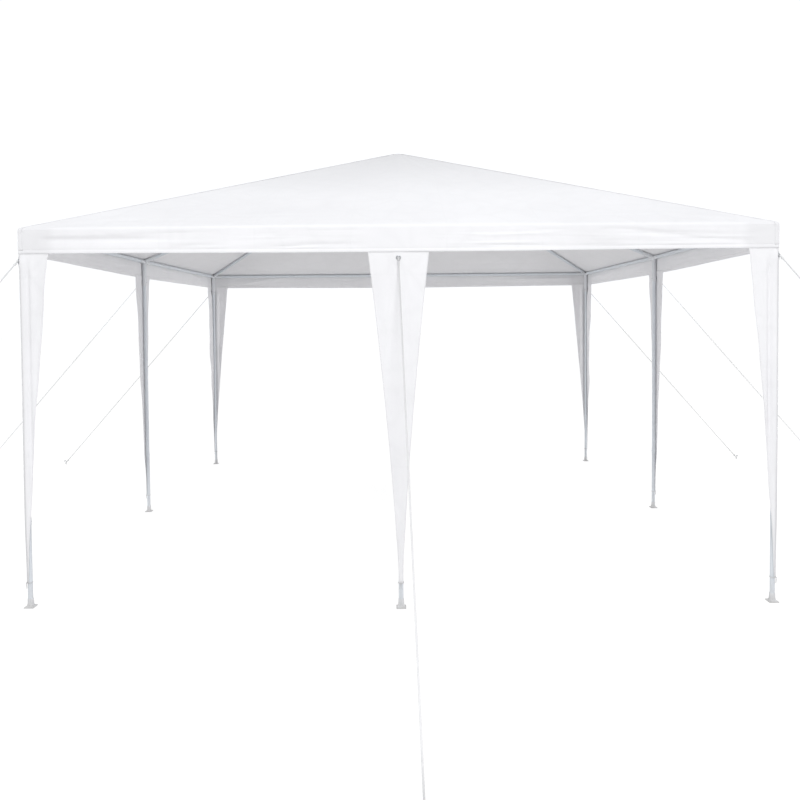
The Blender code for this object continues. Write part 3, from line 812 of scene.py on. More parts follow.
def build_cover(settings):
    """The cover as one sheet: rings from the peak down the roof, round the eave and to the hem.

    The columns lie closer together near the legs, and a fan of triangles closes the peak.
    """
    even = np.linspace(0.0, 1.0, 45)
    half = EAVE_RUN * (0.55 * even + 0.45 * (0.5 - 0.5 * np.cos(even * math.pi)))
    half = np.concatenate([half, EAVE_RUN + np.linspace(0.2, 1.0, 5) * (SIDE_HALF - EAVE_RUN)])
    distance = np.concatenate([-half[:0:-1], half])[None, :]
    sides = [cover_side(settings, distance, quarter) for quarter in range(4)]
    grid, normals = [np.concatenate([side[part] for side in sides], axis=1) for part in (0, 1)]
    flat = sides[0][2]
    rows, around = grid.shape[:2]
    peak = np.array([[0.0, 0.0, float(grid[0, :, 2].mean()) + 0.0004]])
    place = np.arange(around)
    fan = np.stack([np.full(around, rows * around), place, (place + 1) % around], axis=-1)
    top = np.broadcast_to(flat[0, flat.shape[1] // 2], flat[0, 1:].shape)
    top = np.stack([top, flat[0, :-1], flat[0, 1:]], axis=1)
    uv = np.concatenate([np.concatenate([grid_cut(flat)] * 4, axis=1).ravel(), *[top.ravel()] * 4])
    nodes = [f"roof_panel_{side}" for side in SIDES] + [f"valance_{side}" for side in SIDES]
    shape = (np.concatenate([grid.reshape(-1, 3), peak]),
             grid_faces(rows, around, closed_columns=True) + fan.tolist())
    cover = add_piece("cover", shape, "sheet", nodes, uv=uv, creased=False)
    thicken(cover, settings.thickness)

    hem_line, hem_normals = [np.concatenate([values[HEM_ROW], values[HEM_ROW, :1]])
                             for values in (grid, normals)]
    sewn = add_piece("valance_hem_stitching", stitches(hem_line, hem_normals, HEM_STITCH), "thread",
                     creased=False)


def build_hip_tapes(settings):
    """A sewn tape along each hip: a band of even width on the roof's cone, stitched on both sides.

    A line that runs at a plan distance c beside the hip lies, at a level, where the eave itself is
    c over the level away from the hip's plane.
    """
    level = np.concatenate([[0.02, 0.03, 0.05, 0.07], np.linspace(0.1, 1.0, 70)])[:, None]
    half = settings.tape_width / 2.0
    near = np.linspace(0.0, SIDE_HALF, 4000)
    flat = roof_surface(near, np.ones(len(near)), TAPE_STANDOFF)[0]
    plan_gap = np.abs(flat[:, 0] + flat[:, 1]) / math.sqrt(2.0)
    turn = np.linspace(0.0, 1.0, 8)[1:, None]
    fall = np.linspace(0.0, VALANCE_DROP - TAPE_END_GAP, 12)[1:, None]
    drop = np.concatenate([0.0 * turn, fall])
    bend = np.concatenate([turn, np.ones(fall.shape)])
    stand = 0.0015 - 0.0020 * smooth_step(fall[-2], fall[-1], drop)[..., None]
    slope = math.hypot(DIAGONAL_REACH, ROOF_RISE)
    down = np.concatenate([level * slope, slope + turn * SHEET_REACH, slope + SHEET_REACH + fall])
    stitched = []
    for quarter, corner in enumerate(CORNERS):
        halves = []
        for inward in (np.linspace(1.0, 0.0, 7), np.array([TAPE_STITCH_LINE])):
            wide = np.interp(inward * half / level, plan_gap[::-1], near[::-1])
            edge_wide = np.broadcast_to(wide[-1:], (len(drop), len(inward)))
            for sign, turns in ((-1.0, quarter), (1.0, (quarter + 3) % 4)):
                roof = roof_surface(sign * wide, np.broadcast_to(level, wide.shape), TAPE_STANDOFF)
                tilt = eave_at(sign * edge_wide)[2]
                angle = tilt + (QUARTER_TURN - tilt) * bend
                edge = edge_surface(sign * edge_wide, angle, drop, stand)
                halves.append([quarter_turned(np.concatenate([roof[part], edge[part]]), turns)
                               for part in (0, 1)])
        left, right, left_line, right_line = halves
        grid = np.concatenate([right[0], left[0][:, -2::-1]], axis=1)
        rows, columns = grid.shape[:2]
        cut = np.meshgrid(SIDE_HALF + np.linspace(-half, half, columns), down[:, 0] - slope)
        tape = add_piece(f"hip_seam_tape_{corner}", (grid, grid_faces(rows, columns)), "sheet",
                         uv=grid_cut(np.stack(cut, axis=-1)))
        thicken(tape, TAPE_THICKNESS)
        for line, normal in (left_line, right_line):
            stitched.append(stitches(line[:, 0], normal[:, 0], TAPE_STITCH, inset=0.02))
    add_piece("hip_seam_stitching", joined(stitched), "thread", creased=False)


# Skirts, eyelets and ties: a skirt's tuck behind the valance, how much closer to the leg it lies
# there and at the tied end, and how far round the leg it reaches at that end

SKIRT_TUCK = 0.014
SKIRT_BEHIND = 0.0022
SKIRT_DRAWN_IN = 0.0034
CORNER_END_ANGLE = math.radians(62.0)
MIDDLE_END_ANGLE = math.radians(50.0)
EYELET_PLATE = SHEET_REACH + 0.0008
EYELET_HOLE = 0.56
TUBE_CLEARANCE = 0.0125 + 0.0018


def leg_places():
    """Each leg as (name, quarter, is it a corner leg, centre on the ground, outward direction)."""
    places = []
    for quarter in range(4):
        for name, joint in ((CORNERS[quarter], FRONT_CORNER),
                            (f"{SIDES[quarter]}_middle", FRONT_MIDDLE)):
            centre = quarter_turned(joint * LEVEL, quarter)
            places.append((name, quarter, joint is FRONT_CORNER, centre, unit(centre)))
    return places


def skirt_folds(across, share, half_width, is_corner, rng, depth):
    """How far the hanging strip stands off its taut shape.

    Corner skirts have a valley beside the leg on each wing. All have rays from the top, long soft
    folds that drift sideways as they fall, and edges that flutter. Everything fades out at the sewn
    top and the tied end.
    """
    unit_across = across / half_width
    below = np.maximum(share * 1.75 - 0.04, 0.0)
    valley = 4.0 if is_corner else 0.7
    relief = np.zeros(across.shape)
    for sign in (-1.0, 1.0):
        line = sign * (rng.uniform(0.046, 0.054) - 0.012 * share)
        relief -= valley * bell(across - line, 0.012) * smooth_step(0.0, 0.07, share)
        relief += 0.3 * valley * bell(across - line - sign * 0.022, 0.013)
        for slope in (0.34, 0.85):
            ray = bell(across - sign * (slope * below + 0.008), 0.006 + 0.03 * below)
            relief += 1.2 * ray * smooth_step(0.0, 0.03, below) * bell(below, 0.17)
        drift = rng.uniform(-0.25, 0.25)
        relief += 0.5 * np.sin(math.pi * (2.6 * unit_across + drift * share * 6.0)
                               + rng.uniform(0.0, 6.0))
        flutter = 1.5 * np.sin(FULL_TURN * rng.uniform(1.6, 2.4) * share + rng.uniform(0.0, 6.0))
        flutter = flutter + 0.8 * np.sin(FULL_TURN * 5.3 * share + rng.uniform(0.0, 6.0))
        relief += smooth_step(0.55, 1.0, sign * unit_across) * flutter
    hang = smooth_step(0.0, 0.06, share) * (1.0 - smooth_step(0.8, 1.0, share))
    return depth * relief * hang * np.minimum(1.0, half_width / 0.08)


def build_skirts(settings):
    """The eight leg skirts: tapered strips that hang from the valance, tied to the legs' ends.

    The width is the end's, plus a power of the share of the length that is left. Across the strip,
    a point at arc length a lies on an arc round the leg while |a| is under the arc's half length,
    and beyond it on the straight line that leaves the arc.
    """
    sewn, hem = [], settings.hem_width
    end, top = settings.end_width, settings.top_width
    fall = VALANCE_BOTTOM - SKIRT_END_HEIGHT
    height = np.concatenate([VALANCE_BOTTOM + SKIRT_TUCK * np.array([1.0, 0.5]),
                             np.linspace(VALANCE_BOTTOM, SKIRT_END_HEIGHT, 96)])[:, None]
    share = (VALANCE_BOTTOM - height) / fall
    wrap = smooth_step(0.8, 1.0, share)
    radius = (SHEET_REACH - SKIRT_BEHIND * (1.0 - smooth_step(0.002, 0.02, share))
              - SKIRT_DRAWN_IN * wrap)
    for number, (name, _, is_corner, centre, outward) in enumerate(leg_places()):
        rng = np.random.default_rng(settings.seed + number)
        lateral = quarter_turned(outward, 1)
        power, top_angle, end_angle, depth = (
            (settings.corner_taper, CORNER_TURN, CORNER_END_ANGLE, settings.fold_depth)
            if is_corner
            else (settings.taper_power, BULGE_ANGLE, MIDDLE_END_ANGLE, 0.5 * settings.fold_depth))
        half = (end + (top - end) * np.power(1.0 - np.clip(share, 0.0, 1.0), power)) / 2.0
        rims = half - hem * np.array([0.0, 0.5, 1.0])
        inner = np.linspace(-1.0, 1.0, 41) * (half - hem - 0.0008)
        across = np.concatenate([-rims, inner, rims[:, ::-1]], axis=1)

        angle = top_angle + (end_angle - top_angle) * wrap
        turn = np.clip(across / radius, -angle, angle)
        beyond = across - turn * radius
        lift = (skirt_folds(across, share, half, is_corner, rng, depth)
                + DOUBLED_CLOTH * smooth_step(hem + 0.0004, hem - 0.0002, half - np.abs(across)))
        side = (radius + lift) * np.sin(turn) + beyond * np.cos(turn)
        out = (radius + lift) * np.cos(turn) - np.abs(beyond) * np.sin(np.abs(turn))
        patch = (bell(height - EYELET_HEIGHT, 0.02)
                 * (1.0 - smooth_step(0.015, 0.034, np.abs(side))))
        out = out + (EYELET_PLATE - out) * patch
        push = np.maximum(1.0, TUBE_CLEARANCE / np.maximum(np.hypot(side, out), 1e-6))
        grid = centre + (side * push)[..., None] * lateral + (out * push)[..., None] * outward
        grid[..., 2] = height

        rows, columns = across.shape
        flat = np.stack(np.broadcast_arrays(across, -height), axis=-1)
        skirt = add_piece(f"leg_skirt_{name}", (grid, grid_faces(rows, columns)), "sheet",
                          [f"skirt_{name}"], uv=grid_cut(flat), creased=False)
        thicken(skirt, settings.thickness)
        normal = unit(np.cross(np.gradient(grid, axis=1), np.gradient(grid, axis=0)))
        normal = normal * np.sign(np.sum(normal * outward, axis=-1, keepdims=True) + 1e-9)
        for column in (1, columns - 2):
            sewn.append(stitches(grid[3:, column], normal[3:, column], EDGE_STITCH, inset=0.006))
        sewn.append(stitches(grid[1, 2:-2], normal[1, 2:-2], HEM_STITCH, inset=0.004))
    add_piece("skirt_stitching", joined(sewn), "thread", creased=False)


def build_eyelets(settings):
    """A rolled steel ring at each skirt's top: a flat washer profile with rounded edges, turned."""
    outer, inner = settings.eyelet_radius, settings.eyelet_radius * EYELET_HOLE
    turn = circle(20) - QUARTER_TURN
    profile_r = (outer + inner) / 2.0 + (outer - inner) / 2.0 * np.cos(turn)
    profile_h = 0.0004 + 0.0020 * np.sin(turn) * (1.0 - 0.25 * np.cos(turn))
    angle = circle(48)[:, None]
    for name, _, _, centre, outward in leg_places():
        place = centre + outward * EYELET_PLATE + EYELET_HEIGHT * UP
        around = np.cos(angle) * quarter_turned(outward, 1) + np.sin(angle) * UP
        points = place + around[:, None] * profile_r[:, None] + outward * profile_h[:, None]
        faces = grid_faces(len(angle), len(turn), closed_rows=True, closed_columns=True)
        add_piece(f"eyelet_{name}", (points, faces), "steel")


def coil(centre, axis, radius, thickness, turns, rise, sides=8, steps=20):
    """A cord wound round an axis: a circle carried along a helix."""
    rising, level = square_to(axis)
    angle = np.linspace(0.0, FULL_TURN * turns, int(steps * turns) + 1)[:, None]
    path = (centre + radius * (np.cos(angle) * level - np.sin(angle) * rising)
            + (angle / angle[-1] - 0.5) * rise * axis)
    return swept(path, ring_outline(thickness, sides), axis)


def build_ties():
    """A cord tied round each leg over the skirt's end, with a knot and two short tails."""
    fall = np.linspace(0.0, 1.0, 14)
    for number, (name, _, _, centre, outward) in enumerate(leg_places()):
        rng = np.random.default_rng(40 + number)
        lateral = quarter_turned(outward, 1)
        place = centre + outward * 0.0016 + (SKIRT_END_HEIGHT + 0.003) * UP
        knot_place = place + outward * 0.0172
        shapes = [coil(place, UP, radius=0.0155, thickness=0.0012, turns=2.0, rise=0.0034),
                  coil(knot_place, lateral, radius=0.0021, thickness=0.0013, turns=2.5,
                       rise=0.0042, sides=6, steps=12)]
        for sign in (-1.0, 1.0):
            swing = sign * rng.uniform(0.004, 0.008)
            path = (knot_place + lateral * (sign * 0.0015 + swing * fall)[:, None]
                    + outward * (0.0005 * np.sin(3.0 * fall) - 0.0025 * fall ** 2)[:, None]
                    - UP * (rng.uniform(0.024, 0.036) * fall)[:, None])
            shapes.append(swept(path, ring_outline(0.0011, 6), lateral))
        add_piece(f"skirt_tie_{name}", joined(shapes), "cord")


# Ropes and pegs: how far a rope starts before the sheet, how far its solid does, and how far its
# straight part ends before the peg

ROPE_STANDOFF = 0.0062
SOLID_STANDOFF = 0.0068
LOOP_LENGTH = 0.032
KNOT_RADIUS = 0.0068
RINGS_PER_LAY = 9.0


def rope_between(start, end, radius, pitch):
    """A taut three-strand rope: a circle with three lobes, turned with the lay along its length."""
    way = end - start
    length = float(np.linalg.norm(way))
    rings = int(length / pitch * RINGS_PER_LAY)
    angle = circle(12)
    lobes = radius * (0.84 + 0.16 * np.abs(np.cos(1.5 * angle)))
    lay = np.linspace(0.0, FULL_TURN * length / pitch, rings)[:, None]
    outline = np.stack([lobes * np.cos(angle + lay), lobes * np.sin(angle + lay)], axis=-1)
    helper = (0.0, 1.0, 0.0) if abs(way[0]) > abs(way[1]) else (1.0, 0.0, 0.0)
    return swept(start + np.linspace(0.0, 1.0, rings)[:, None] * way, outline, helper)


def eyelet_knot(centre, direction, radius):
    """A stopper knot: a thick cord carried along a closed trefoil, squeezed to a ball."""
    turn = circle(60)[:, None]
    rising, level = square_to(direction)
    path = centre + radius * 0.30 * (
        (np.sin(turn) + 1.5 * np.sin(2.0 * turn)) * level
        - (np.cos(turn) - 1.5 * np.cos(2.0 * turn)) * rising - 0.9 * np.sin(3.0 * turn) * direction)
    return swept(path, ring_outline(radius * 0.36, 8), direction, closed=True)


def peg_path(foot, away, height, hook):
    """A hooked peg's centre line: up from the ground, over in a half circle, and a little down."""
    angle = np.linspace(0.0, math.pi, 19)
    side = np.concatenate([np.zeros(7), hook - hook * np.cos(angle), [2.0 * hook, 2.0 * hook]])
    rise = np.concatenate([np.linspace(0.0, height, 8)[:-1], height + hook * np.sin(angle),
                           [height - 0.004, height - 0.0048]])
    return foot + side[:, None] * away + rise[:, None] * UP


def rope_loop(hitch, way, radius):
    """The loop round the peg: a circle on its far side, drawn out to a point towards the rope."""
    angle = circle(40)
    cosine = np.cos(angle)
    reach = 0.0035 + radius
    along = reach * cosine * np.where(cosine > 0.0, 1.0, (LOOP_LENGTH + 0.004) / reach)
    beside = reach * np.sin(angle) * np.where(cosine > 0.0, 1.0, 1.0 + 0.7 * cosine)
    flat_side = quarter_turned(unit(way * LEVEL), 1)
    path = hitch + along[:, None] * way + beside[:, None] * flat_side
    return swept(path, ring_outline(radius, 8), np.cross(way, flat_side), closed=True)


def build_ropes(settings):
    """Eight taut ropes, from a knot in the eyelet to a loop round a hooked peg."""
    radius = settings.rope_radius
    thickness = np.full(28, settings.peg_radius)
    thickness[-2:] = settings.peg_radius * np.array([0.92, 0.6])
    for name, quarter, is_corner, centre, outward in leg_places():
        away = np.array([math.copysign(1.0, centre[0]), 0.0, 0.0]) if is_corner else outward
        to_end = not is_corner and quarter % 2 == 0
        run, drift = (settings.end_run, settings.end_drift) if to_end else (settings.side_run, 0.0)
        solid_reach = SHEET_REACH * (math.sqrt(2.0) if is_corner else 1.0) + SOLID_STANDOFF
        foot = centre + outward * solid_reach + away * run + quarter_turned(away, 1) * drift
        start = centre + outward * (SHEET_REACH + ROPE_STANDOFF) + EYELET_HEIGHT * UP
        hitch = foot + settings.hitch_height * UP
        way = unit(hitch - start)
        shapes = [
            rope_between(start, hitch - way * LOOP_LENGTH, radius, settings.lay_length),
            eyelet_knot(start + outward * 0.0006, outward, KNOT_RADIUS),
            rope_loop(hitch, way, radius * 0.72),
            coil(hitch - way * (LOOP_LENGTH + 0.001), way, radius * 1.25, radius * 0.5,
                 turns=5.0, rise=0.014, steps=16),
            coil(start + way * 0.019, way, radius * 1.3, radius * 0.5,
                 turns=4.0, rise=0.011, steps=16)]
        add_piece(f"rope_{name}", joined(shapes), "cord", [f"guy_rope_{name}"])
        path = peg_path(foot, away, settings.peg_height, settings.peg_hook)
        shape = swept(path, ring_outline(thickness, 16), quarter_turned(away, 1))
        add_piece(f"peg_{name}", shape, "steel", [f"guy_rope_{name}"])


# The steel frame

TUBE_FACETS = 40
BUTTON_RADIUS = 0.0036
JOINT_BUTTON_RADIUS = 0.0034
BUTTON_INSET = 0.026
LEG_BUTTON_DROP = 0.165
BEAD_THICKNESS = 0.0016
ARM_LENGTH = 0.10
CROWN_ARM_LENGTH = 0.12
CROWN_RADIUS = 0.036
POST_RISE = 0.009
POST_LENGTH = 0.199
POST_BORE_START = 0.039


def sleeve(centre, way, reach, outer, bore, bore_start):
    """A socket: a capped tube whose bore is open at the far end, with a rounded lip."""
    lip = 0.0007
    profile = [(AXIS, 0.0), (outer - lip, 0.0), (outer, lip), (outer, reach * 0.5),
               (outer, reach - 2.0 * lip), (outer - 0.3 * lip, reach - 0.6 * lip),
               (outer - lip, reach), (bore + 0.3 * lip, reach), (bore, reach - lip),
               (bore, bore_start), (AXIS, bore_start)]
    return turned(profile, TUBE_FACETS, centre, way)


def weld_bead(centre, way, arm_radius, post_radius):
    """A rippled bead where an arm meets a round post: sqrt(R^2 - (r sin)^2) out along the arm."""
    angle = circle(72)
    rising, level = square_to(way)
    lateral, lifted = arm_radius * np.sin(angle), arm_radius * np.cos(angle)
    reach = np.sqrt(np.maximum(post_radius ** 2 - np.square(lateral), 0.0))
    reach = (reach + lifted * abs(rising @ unit(way * LEVEL))) / math.hypot(way[0], way[1])
    path = centre + reach[:, None] * way + lateral[:, None] * level + lifted[:, None] * rising
    ripple = BEAD_THICKNESS * (1.0 + 0.16 * np.sin(17.0 * angle))
    return swept(path, ring_outline(ripple, 8), way, closed=True)


def spring_button(place, way, radius):
    """The round head of a spring button in its hole: a low dome on a short neck."""
    rise = np.linspace(0.0, QUARTER_TURN, 7)[:-1]
    dome = [(radius * math.cos(step), 0.0011 + 0.0016 * math.sin(step)) for step in rise]
    return turned([(radius, -0.002)] + dome + [(AXIS, 0.0027)], 24, place, way)


def welded_arm(settings, centre, arm, reach, bore_start, post_radius):
    """An arm's socket and weld bead, and the spring button under it, near its open end."""
    below = unit(arm * arm[2] - UP)
    place = centre + arm * (reach - BUTTON_INSET) + below * settings.socket_radius
    return ([sleeve(centre, arm, reach, settings.socket_radius, settings.bore_radius, bore_start),
             weld_bead(centre, arm, settings.socket_radius, post_radius)],
            spring_button(place, below, BUTTON_RADIUS))


def build_connectors(settings):
    """Corner and side connectors: a post with the leg's socket, three welded arms and buttons."""
    for quarter in range(4):
        for name, centre, ends in (
                (f"corner_connector_{CORNERS[quarter]}", FRONT_CORNER,
                 (FRONT_MIDDLE, LEFT_MIDDLE, CROWN)),
                (f"side_connector_{SIDES[quarter]}", FRONT_MIDDLE,
                 (FRONT_CORNER, RIGHT_CORNER, CROWN))):
            post_radius = settings.leg_socket_radius
            shapes = [sleeve(centre + POST_RISE * UP, -UP, POST_LENGTH, post_radius,
                             settings.bore_radius, POST_BORE_START)]
            buttons = []
            for end in ends:
                welded, button = welded_arm(settings, centre, unit(end - centre), ARM_LENGTH,
                                            BORE_START, post_radius)
                shapes += welded
                buttons.append(button)
            inward = unit(-centre * LEVEL)
            place = centre - LEG_BUTTON_DROP * UP + inward * post_radius
            buttons.append(spring_button(place, inward, BUTTON_RADIUS))
            add_piece(f"{name}_sockets", joined(shapes), "socket", [name], quarter=quarter)
            add_piece(f"{name}_buttons", joined(buttons), "steel", quarter=quarter)


def build_crown(settings):
    """The crown: a turned hub with eight welded sockets for the rafters, and their buttons."""
    hub = [(AXIS, -0.036), (0.028, -0.036), (0.030, -0.0355), (0.0352, -0.031),
           (CROWN_RADIUS, -0.029), (CROWN_RADIUS, -0.011), (0.0355, -0.0085), (0.034, -0.004),
           (0.0325, -0.0028), (0.0145, 0.0082), (0.013, 0.009), (AXIS, 0.009)]
    shapes, buttons = [turned(hub, 64, CROWN, UP)], []
    for quarter in range(4):
        for joint in (FRONT_CORNER, FRONT_MIDDLE):
            arm = quarter_turned(unit(joint - CROWN), quarter)
            welded, button = welded_arm(settings, CROWN, arm, CROWN_ARM_LENGTH,
                                        CROWN_BORE_START, CROWN_RADIUS)
            shapes += welded
            buttons.append(button)
    add_piece("crown_sockets", joined(shapes), "socket", ["crown_connector"])
    add_piece("crown_buttons", joined(buttons), "steel")


def frame_tube(start, end, radius):
    """A straight tube with rounded ends."""
    length = float(np.linalg.norm(end - start))
    edge = 0.0008
    walls = [(radius, edge), *((radius, share * length) for share in (0.25, 0.5, 0.75)),
             (radius, length - edge)]
    profile = [(AXIS, 0.0), (radius - edge, 0.0), *walls, (radius - edge, length), (AXIS, length)]
    return turned(profile, TUBE_FACETS, start, end - start)


def build_frame_tubes(settings):
    """Eight eave tubes and eight rafters between the sockets' bores."""
    for quarter in range(4):
        first, second = EAVE_NEIGHBOURS[quarter]
        for name, start, end, inset in (
                (f"eave_tube_{first}", FRONT_CORNER, FRONT_MIDDLE, BORE_START),
                (f"eave_tube_{second}", FRONT_MIDDLE, RIGHT_CORNER, BORE_START),
                (f"hip_rafter_{CORNERS[quarter]}", FRONT_CORNER, CROWN, CROWN_BORE_START),
                (f"side_rafter_{SIDES[quarter]}", FRONT_MIDDLE, CROWN, CROWN_BORE_START)):
            way = unit(end - start)
            shape = frame_tube(start + way * BORE_START, end - way * inset, settings.tube_radius)
            add_piece(f"{name}_steel", shape, "tube", [name], quarter=quarter)


# A foot's profile: radius, height and squareness
FOOT = np.array([
    (AXIS, 0.0, 0.0), (0.0252, 0.0, 0.95), (0.0259, 0.0005, 0.96), (0.0260, 0.0012, 0.97),
    (0.0260, 0.0034, 0.97), (0.0257, 0.0041, 0.96), (0.0250, 0.0046, 0.95), (0.0224, 0.0053, 0.9),
    (0.0202, 0.0062, 0.8), (0.0185, 0.0078, 0.62), (0.0173, 0.0102, 0.45), (0.0164, 0.0140, 0.28),
    (0.0158, 0.0190, 0.14), (0.0153, 0.0250, 0.05), (0.0151, 0.0320, 0.0), (0.0150, 0.0420, 0.0),
    (0.0150, 0.0450, 0.0), (0.0147, 0.0460, 0.0), (0.0141, 0.0464, 0.0), (0.0127, 0.0464, 0.0),
    (0.0126, 0.0440, 0.0), (AXIS, 0.0440, 0.0)])


def build_legs(settings):
    """Leg tubes in two lengths, the upper swaged over the lower, and their square flared feet."""
    radius, joint = settings.tube_radius, settings.joint_height
    proud = radius + 0.0010
    tube = [(AXIS, 0.004), (radius, 0.004), (radius, 0.3 * joint), (radius, joint - 0.002),
            (radius + 0.0004, joint - 0.0015), (radius + 0.0009, joint - 0.0006), (proud, joint),
            (proud, joint + 0.034), (radius + 0.0007, joint + 0.040), (radius, joint + 0.047),
            (radius, 1.0), (radius, 1.5), (radius, LEG_TOP - 0.001), (radius - 0.001, LEG_TOP),
            (AXIS, LEG_TOP)]
    for name, _, _, centre, outward in leg_places():
        shape = turned(tube, TUBE_FACETS, centre, UP)
        add_piece(f"leg_tube_{name}", shape, "tube", [f"leg_{name}"])
        base = turned(FOOT[:, :2], 64, centre, UP, FOOT[:, 2])
        add_piece(f"foot_{name}", base, "foot", [f"leg_{name}"])
        place = centre - outward * radius + (joint + 0.018) * UP
        button = spring_button(place, -outward, JOINT_BUTTON_RADIUS)
        add_piece(f"leg_button_{name}", button, "steel")


# The stage: floor rings, and lights as name, place, aim, size and the setting of their power

FLOOR_RADII = (0.0001, 6.0, 20.0, 90.0)
FLOOR_DROP = 0.0004
SKY_COLOUR = (0.975, 0.987, 1.0, 1.0)
LAMP_COLOUR = (0.985, 0.992, 1.0)
LAMPS = (("key_light", (0.9, -14.0, 11.4), (0.0, -1.8, 1.6), 3.2, "key_power"),
         ("back_light", (2.0, 6.5, 6.0), (0.0, 0.0, 1.8), 4.0, "back_power"),
         ("left_light", (-7.5, 0.6, 0.9), (0.0, 0.6, 1.3), 2.5, "side_power"),
         ("right_light", (7.5, 0.6, 0.9), (0.0, 0.6, 1.3), 2.5, "side_power"))


def build_floor(settings):
    """A round pale floor of flat rings, whose own light differs for the camera and the tent."""
    mesh = bpy.data.meshes.new("floor")
    spokes = 96
    points = ring_outline(FLOOR_RADII, spokes)
    points = np.concatenate([points, np.full(points.shape[:2] + (1,), -FLOOR_DROP)], axis=-1)
    faces = grid_faces(len(FLOOR_RADII), spokes, closed_columns=True)
    mesh.from_pydata(points.reshape(-1, 3).tolist(), [], [face[::-1] for face in faces])
    floor = bpy.data.objects.new("floor", mesh)
    bpy.context.scene.collection.objects.link(floor)
    material, layout = new_material("Pale Floor")
    colour = tuple(settings.floor_colour)
    pale = layout.tinted(colour, layout.noise(layout.place(), 0.8, 3.0), 0.99, 1.01)
    seen = layout.add("LightPath").outputs["Is Camera Ray"]
    layout.surface(
        base_color=layout.blended(seen, pale, shade_of(colour, 0.3)), roughness=0.9,
        emission_strength=layout.ranged(seen, 0.0, 1.0, settings.floor_glow, settings.floor_seen),
        emission_color=(1.0, 1.0, 1.0, 1.0))
    layout.shader.inputs["Specular IOR Level"].default_value = 0.1
    mesh.materials.append(material)


def build_stage(settings):
    """Pale floor, soft light from all round, a large soft light above the front, and the camera."""
    build_floor(settings)
    scene = bpy.context.scene
    scene.world = bpy.data.worlds.new("Studio")
    scene.world.use_nodes = True
    sky = NodeLayout(scene.world.node_tree)
    background = sky.tree.nodes["Background"].inputs
    background["Color"].default_value = SKY_COLOUR
    seen = sky.add("LightPath").outputs["Is Camera Ray"]
    sky.put(sky.ranged(seen, 0.0, 1.0, settings.sky_strength, settings.sky_seen),
            background["Strength"])
    for name, place, aim, size, power in LAMPS:
        lamp = bpy.data.lights.new(name, "AREA")
        lamp.shape = "DISK"
        lamp.size = size
        lamp.energy = getattr(settings, power)
        lamp.color = LAMP_COLOUR
        holder = bpy.data.objects.new(name, lamp)
        back = unit(np.array(place) - np.array(aim))
        right = unit(np.cross(UP, back))
        turn = np.stack([right, np.cross(back, right), back], axis=1)
        holder.matrix_world = Matrix.Translation(place) @ Matrix(turn.tolist()).to_4x4()
        scene.collection.objects.link(holder)
    data = bpy.data.cameras.new("camera")
    data.sensor_width = SENSOR_WIDTH
    data.lens = settings.lens
    data.shift_y = (settings.horizon_line - IMAGE_SIDE / 2.0) / IMAGE_SIDE
    data.clip_end = 300.0
    camera = bpy.data.objects.new("camera", data)
    camera.matrix_world = (Matrix.Translation(tuple(settings.camera_place))
                           @ Matrix.Rotation(settings.yaw, 4, "Z")
                           @ Matrix.Rotation(QUARTER_TURN + settings.pitch, 4, "X")
                           @ Matrix.Rotation(settings.roll, 4, "Z"))
    scene.collection.objects.link(camera)
    scene.camera = camera
    scene.view_settings.view_transform = "Standard"


# Settings, operators and panel


def number(name, description, default, **kind):
    """A number, or an angle where its subtype says so."""
    return FloatProperty(name=name, description=description, default=default, **kind)


def length(name, description, default):
    """A length in metres."""
    return number(name, description, default, unit="LENGTH", precision=4)


def tint(name, description, default):
    """A linear RGB colour."""
    return FloatVectorProperty(name=name, description=description, default=default, subtype="COLOR",
                               min=0.0, max=1.0)


class TentSheetSettings(PropertyGroup):
    """Sizes and colours of the cover and of all sewn cloth."""

    colour: tint("Sheet Colour", "Colour of the coated sheet", (0.849, 0.844, 0.859))
    thread_colour: tint("Thread Colour", "Colour of the stitches", (0.80, 0.80, 0.82))
    thickness: length("Thickness", "Thickness of the cover", 0.001)
    roof_sag: length("Roof Sag", "Deepest sag between two rafters", 0.014)
    hem_drop: length("Hem Drop", "How much lower the valance hangs at the middle legs", 0.009)
    hem_width: length("Hem Width", "Width of the valance's hem", 0.014)
    wrinkle_depth: length("Wrinkle Depth", "Depth of a typical fold", 0.0026)
    tape_width: length("Tape Width", "Width of the tapes over the hip seams", 0.028)
    seed: IntProperty(name="Seed", description="Where the folds fall", default=7)


class TentSkirtSettings(PropertyGroup):
    """Sizes of the leg skirts."""

    top_width: length("Top Width", "Width at the valance", 0.32)
    end_width: length("End Width", "Width at the tied end", 0.024)
    thickness: length("Thickness", "Thickness of the skirts' sheet", 0.0009)
    hem_width: length("Hem Width", "Width of the edge hems", 0.007)
    fold_depth: length("Fold Depth", "Depth of a typical fold", 0.0030)
    taper_power: number("Taper Power", "Power of the middle skirts' taper", 1.37)
    corner_taper: number("Corner Taper", "Power of the corner skirts' taper", 1.2)
    seed: IntProperty(name="Seed", description="Where the folds fall", default=21)


class TentFrameSettings(PropertyGroup):
    """Sizes and colours of the tubes, sockets and feet."""

    tube_radius: length("Tube Radius", "Outer radius of all tubes", 0.0125)
    socket_radius: length("Socket Radius", "Outer radius of the arms' sockets", 0.0145)
    leg_socket_radius: length("Leg Socket Radius", "Outer radius of the legs' sockets", 0.0155)
    bore_radius: length("Bore Radius", "Radius of the sockets' bores", 0.0131)
    joint_height: length("Joint Height", "Height of the legs' joint above the ground", 0.44)
    tube_colour: tint("Tube Colour", "Bluish white powder coat", (0.71, 0.745, 0.785))
    socket_colour: tint("Socket Colour", "Light grey powder coat", (0.73, 0.745, 0.77))
    foot_colour: tint("Foot Colour", "Light grey plastic", (0.67, 0.672, 0.685))
    steel_colour: tint("Steel Colour", "Zinc plating of all small parts", (0.52, 0.53, 0.55))


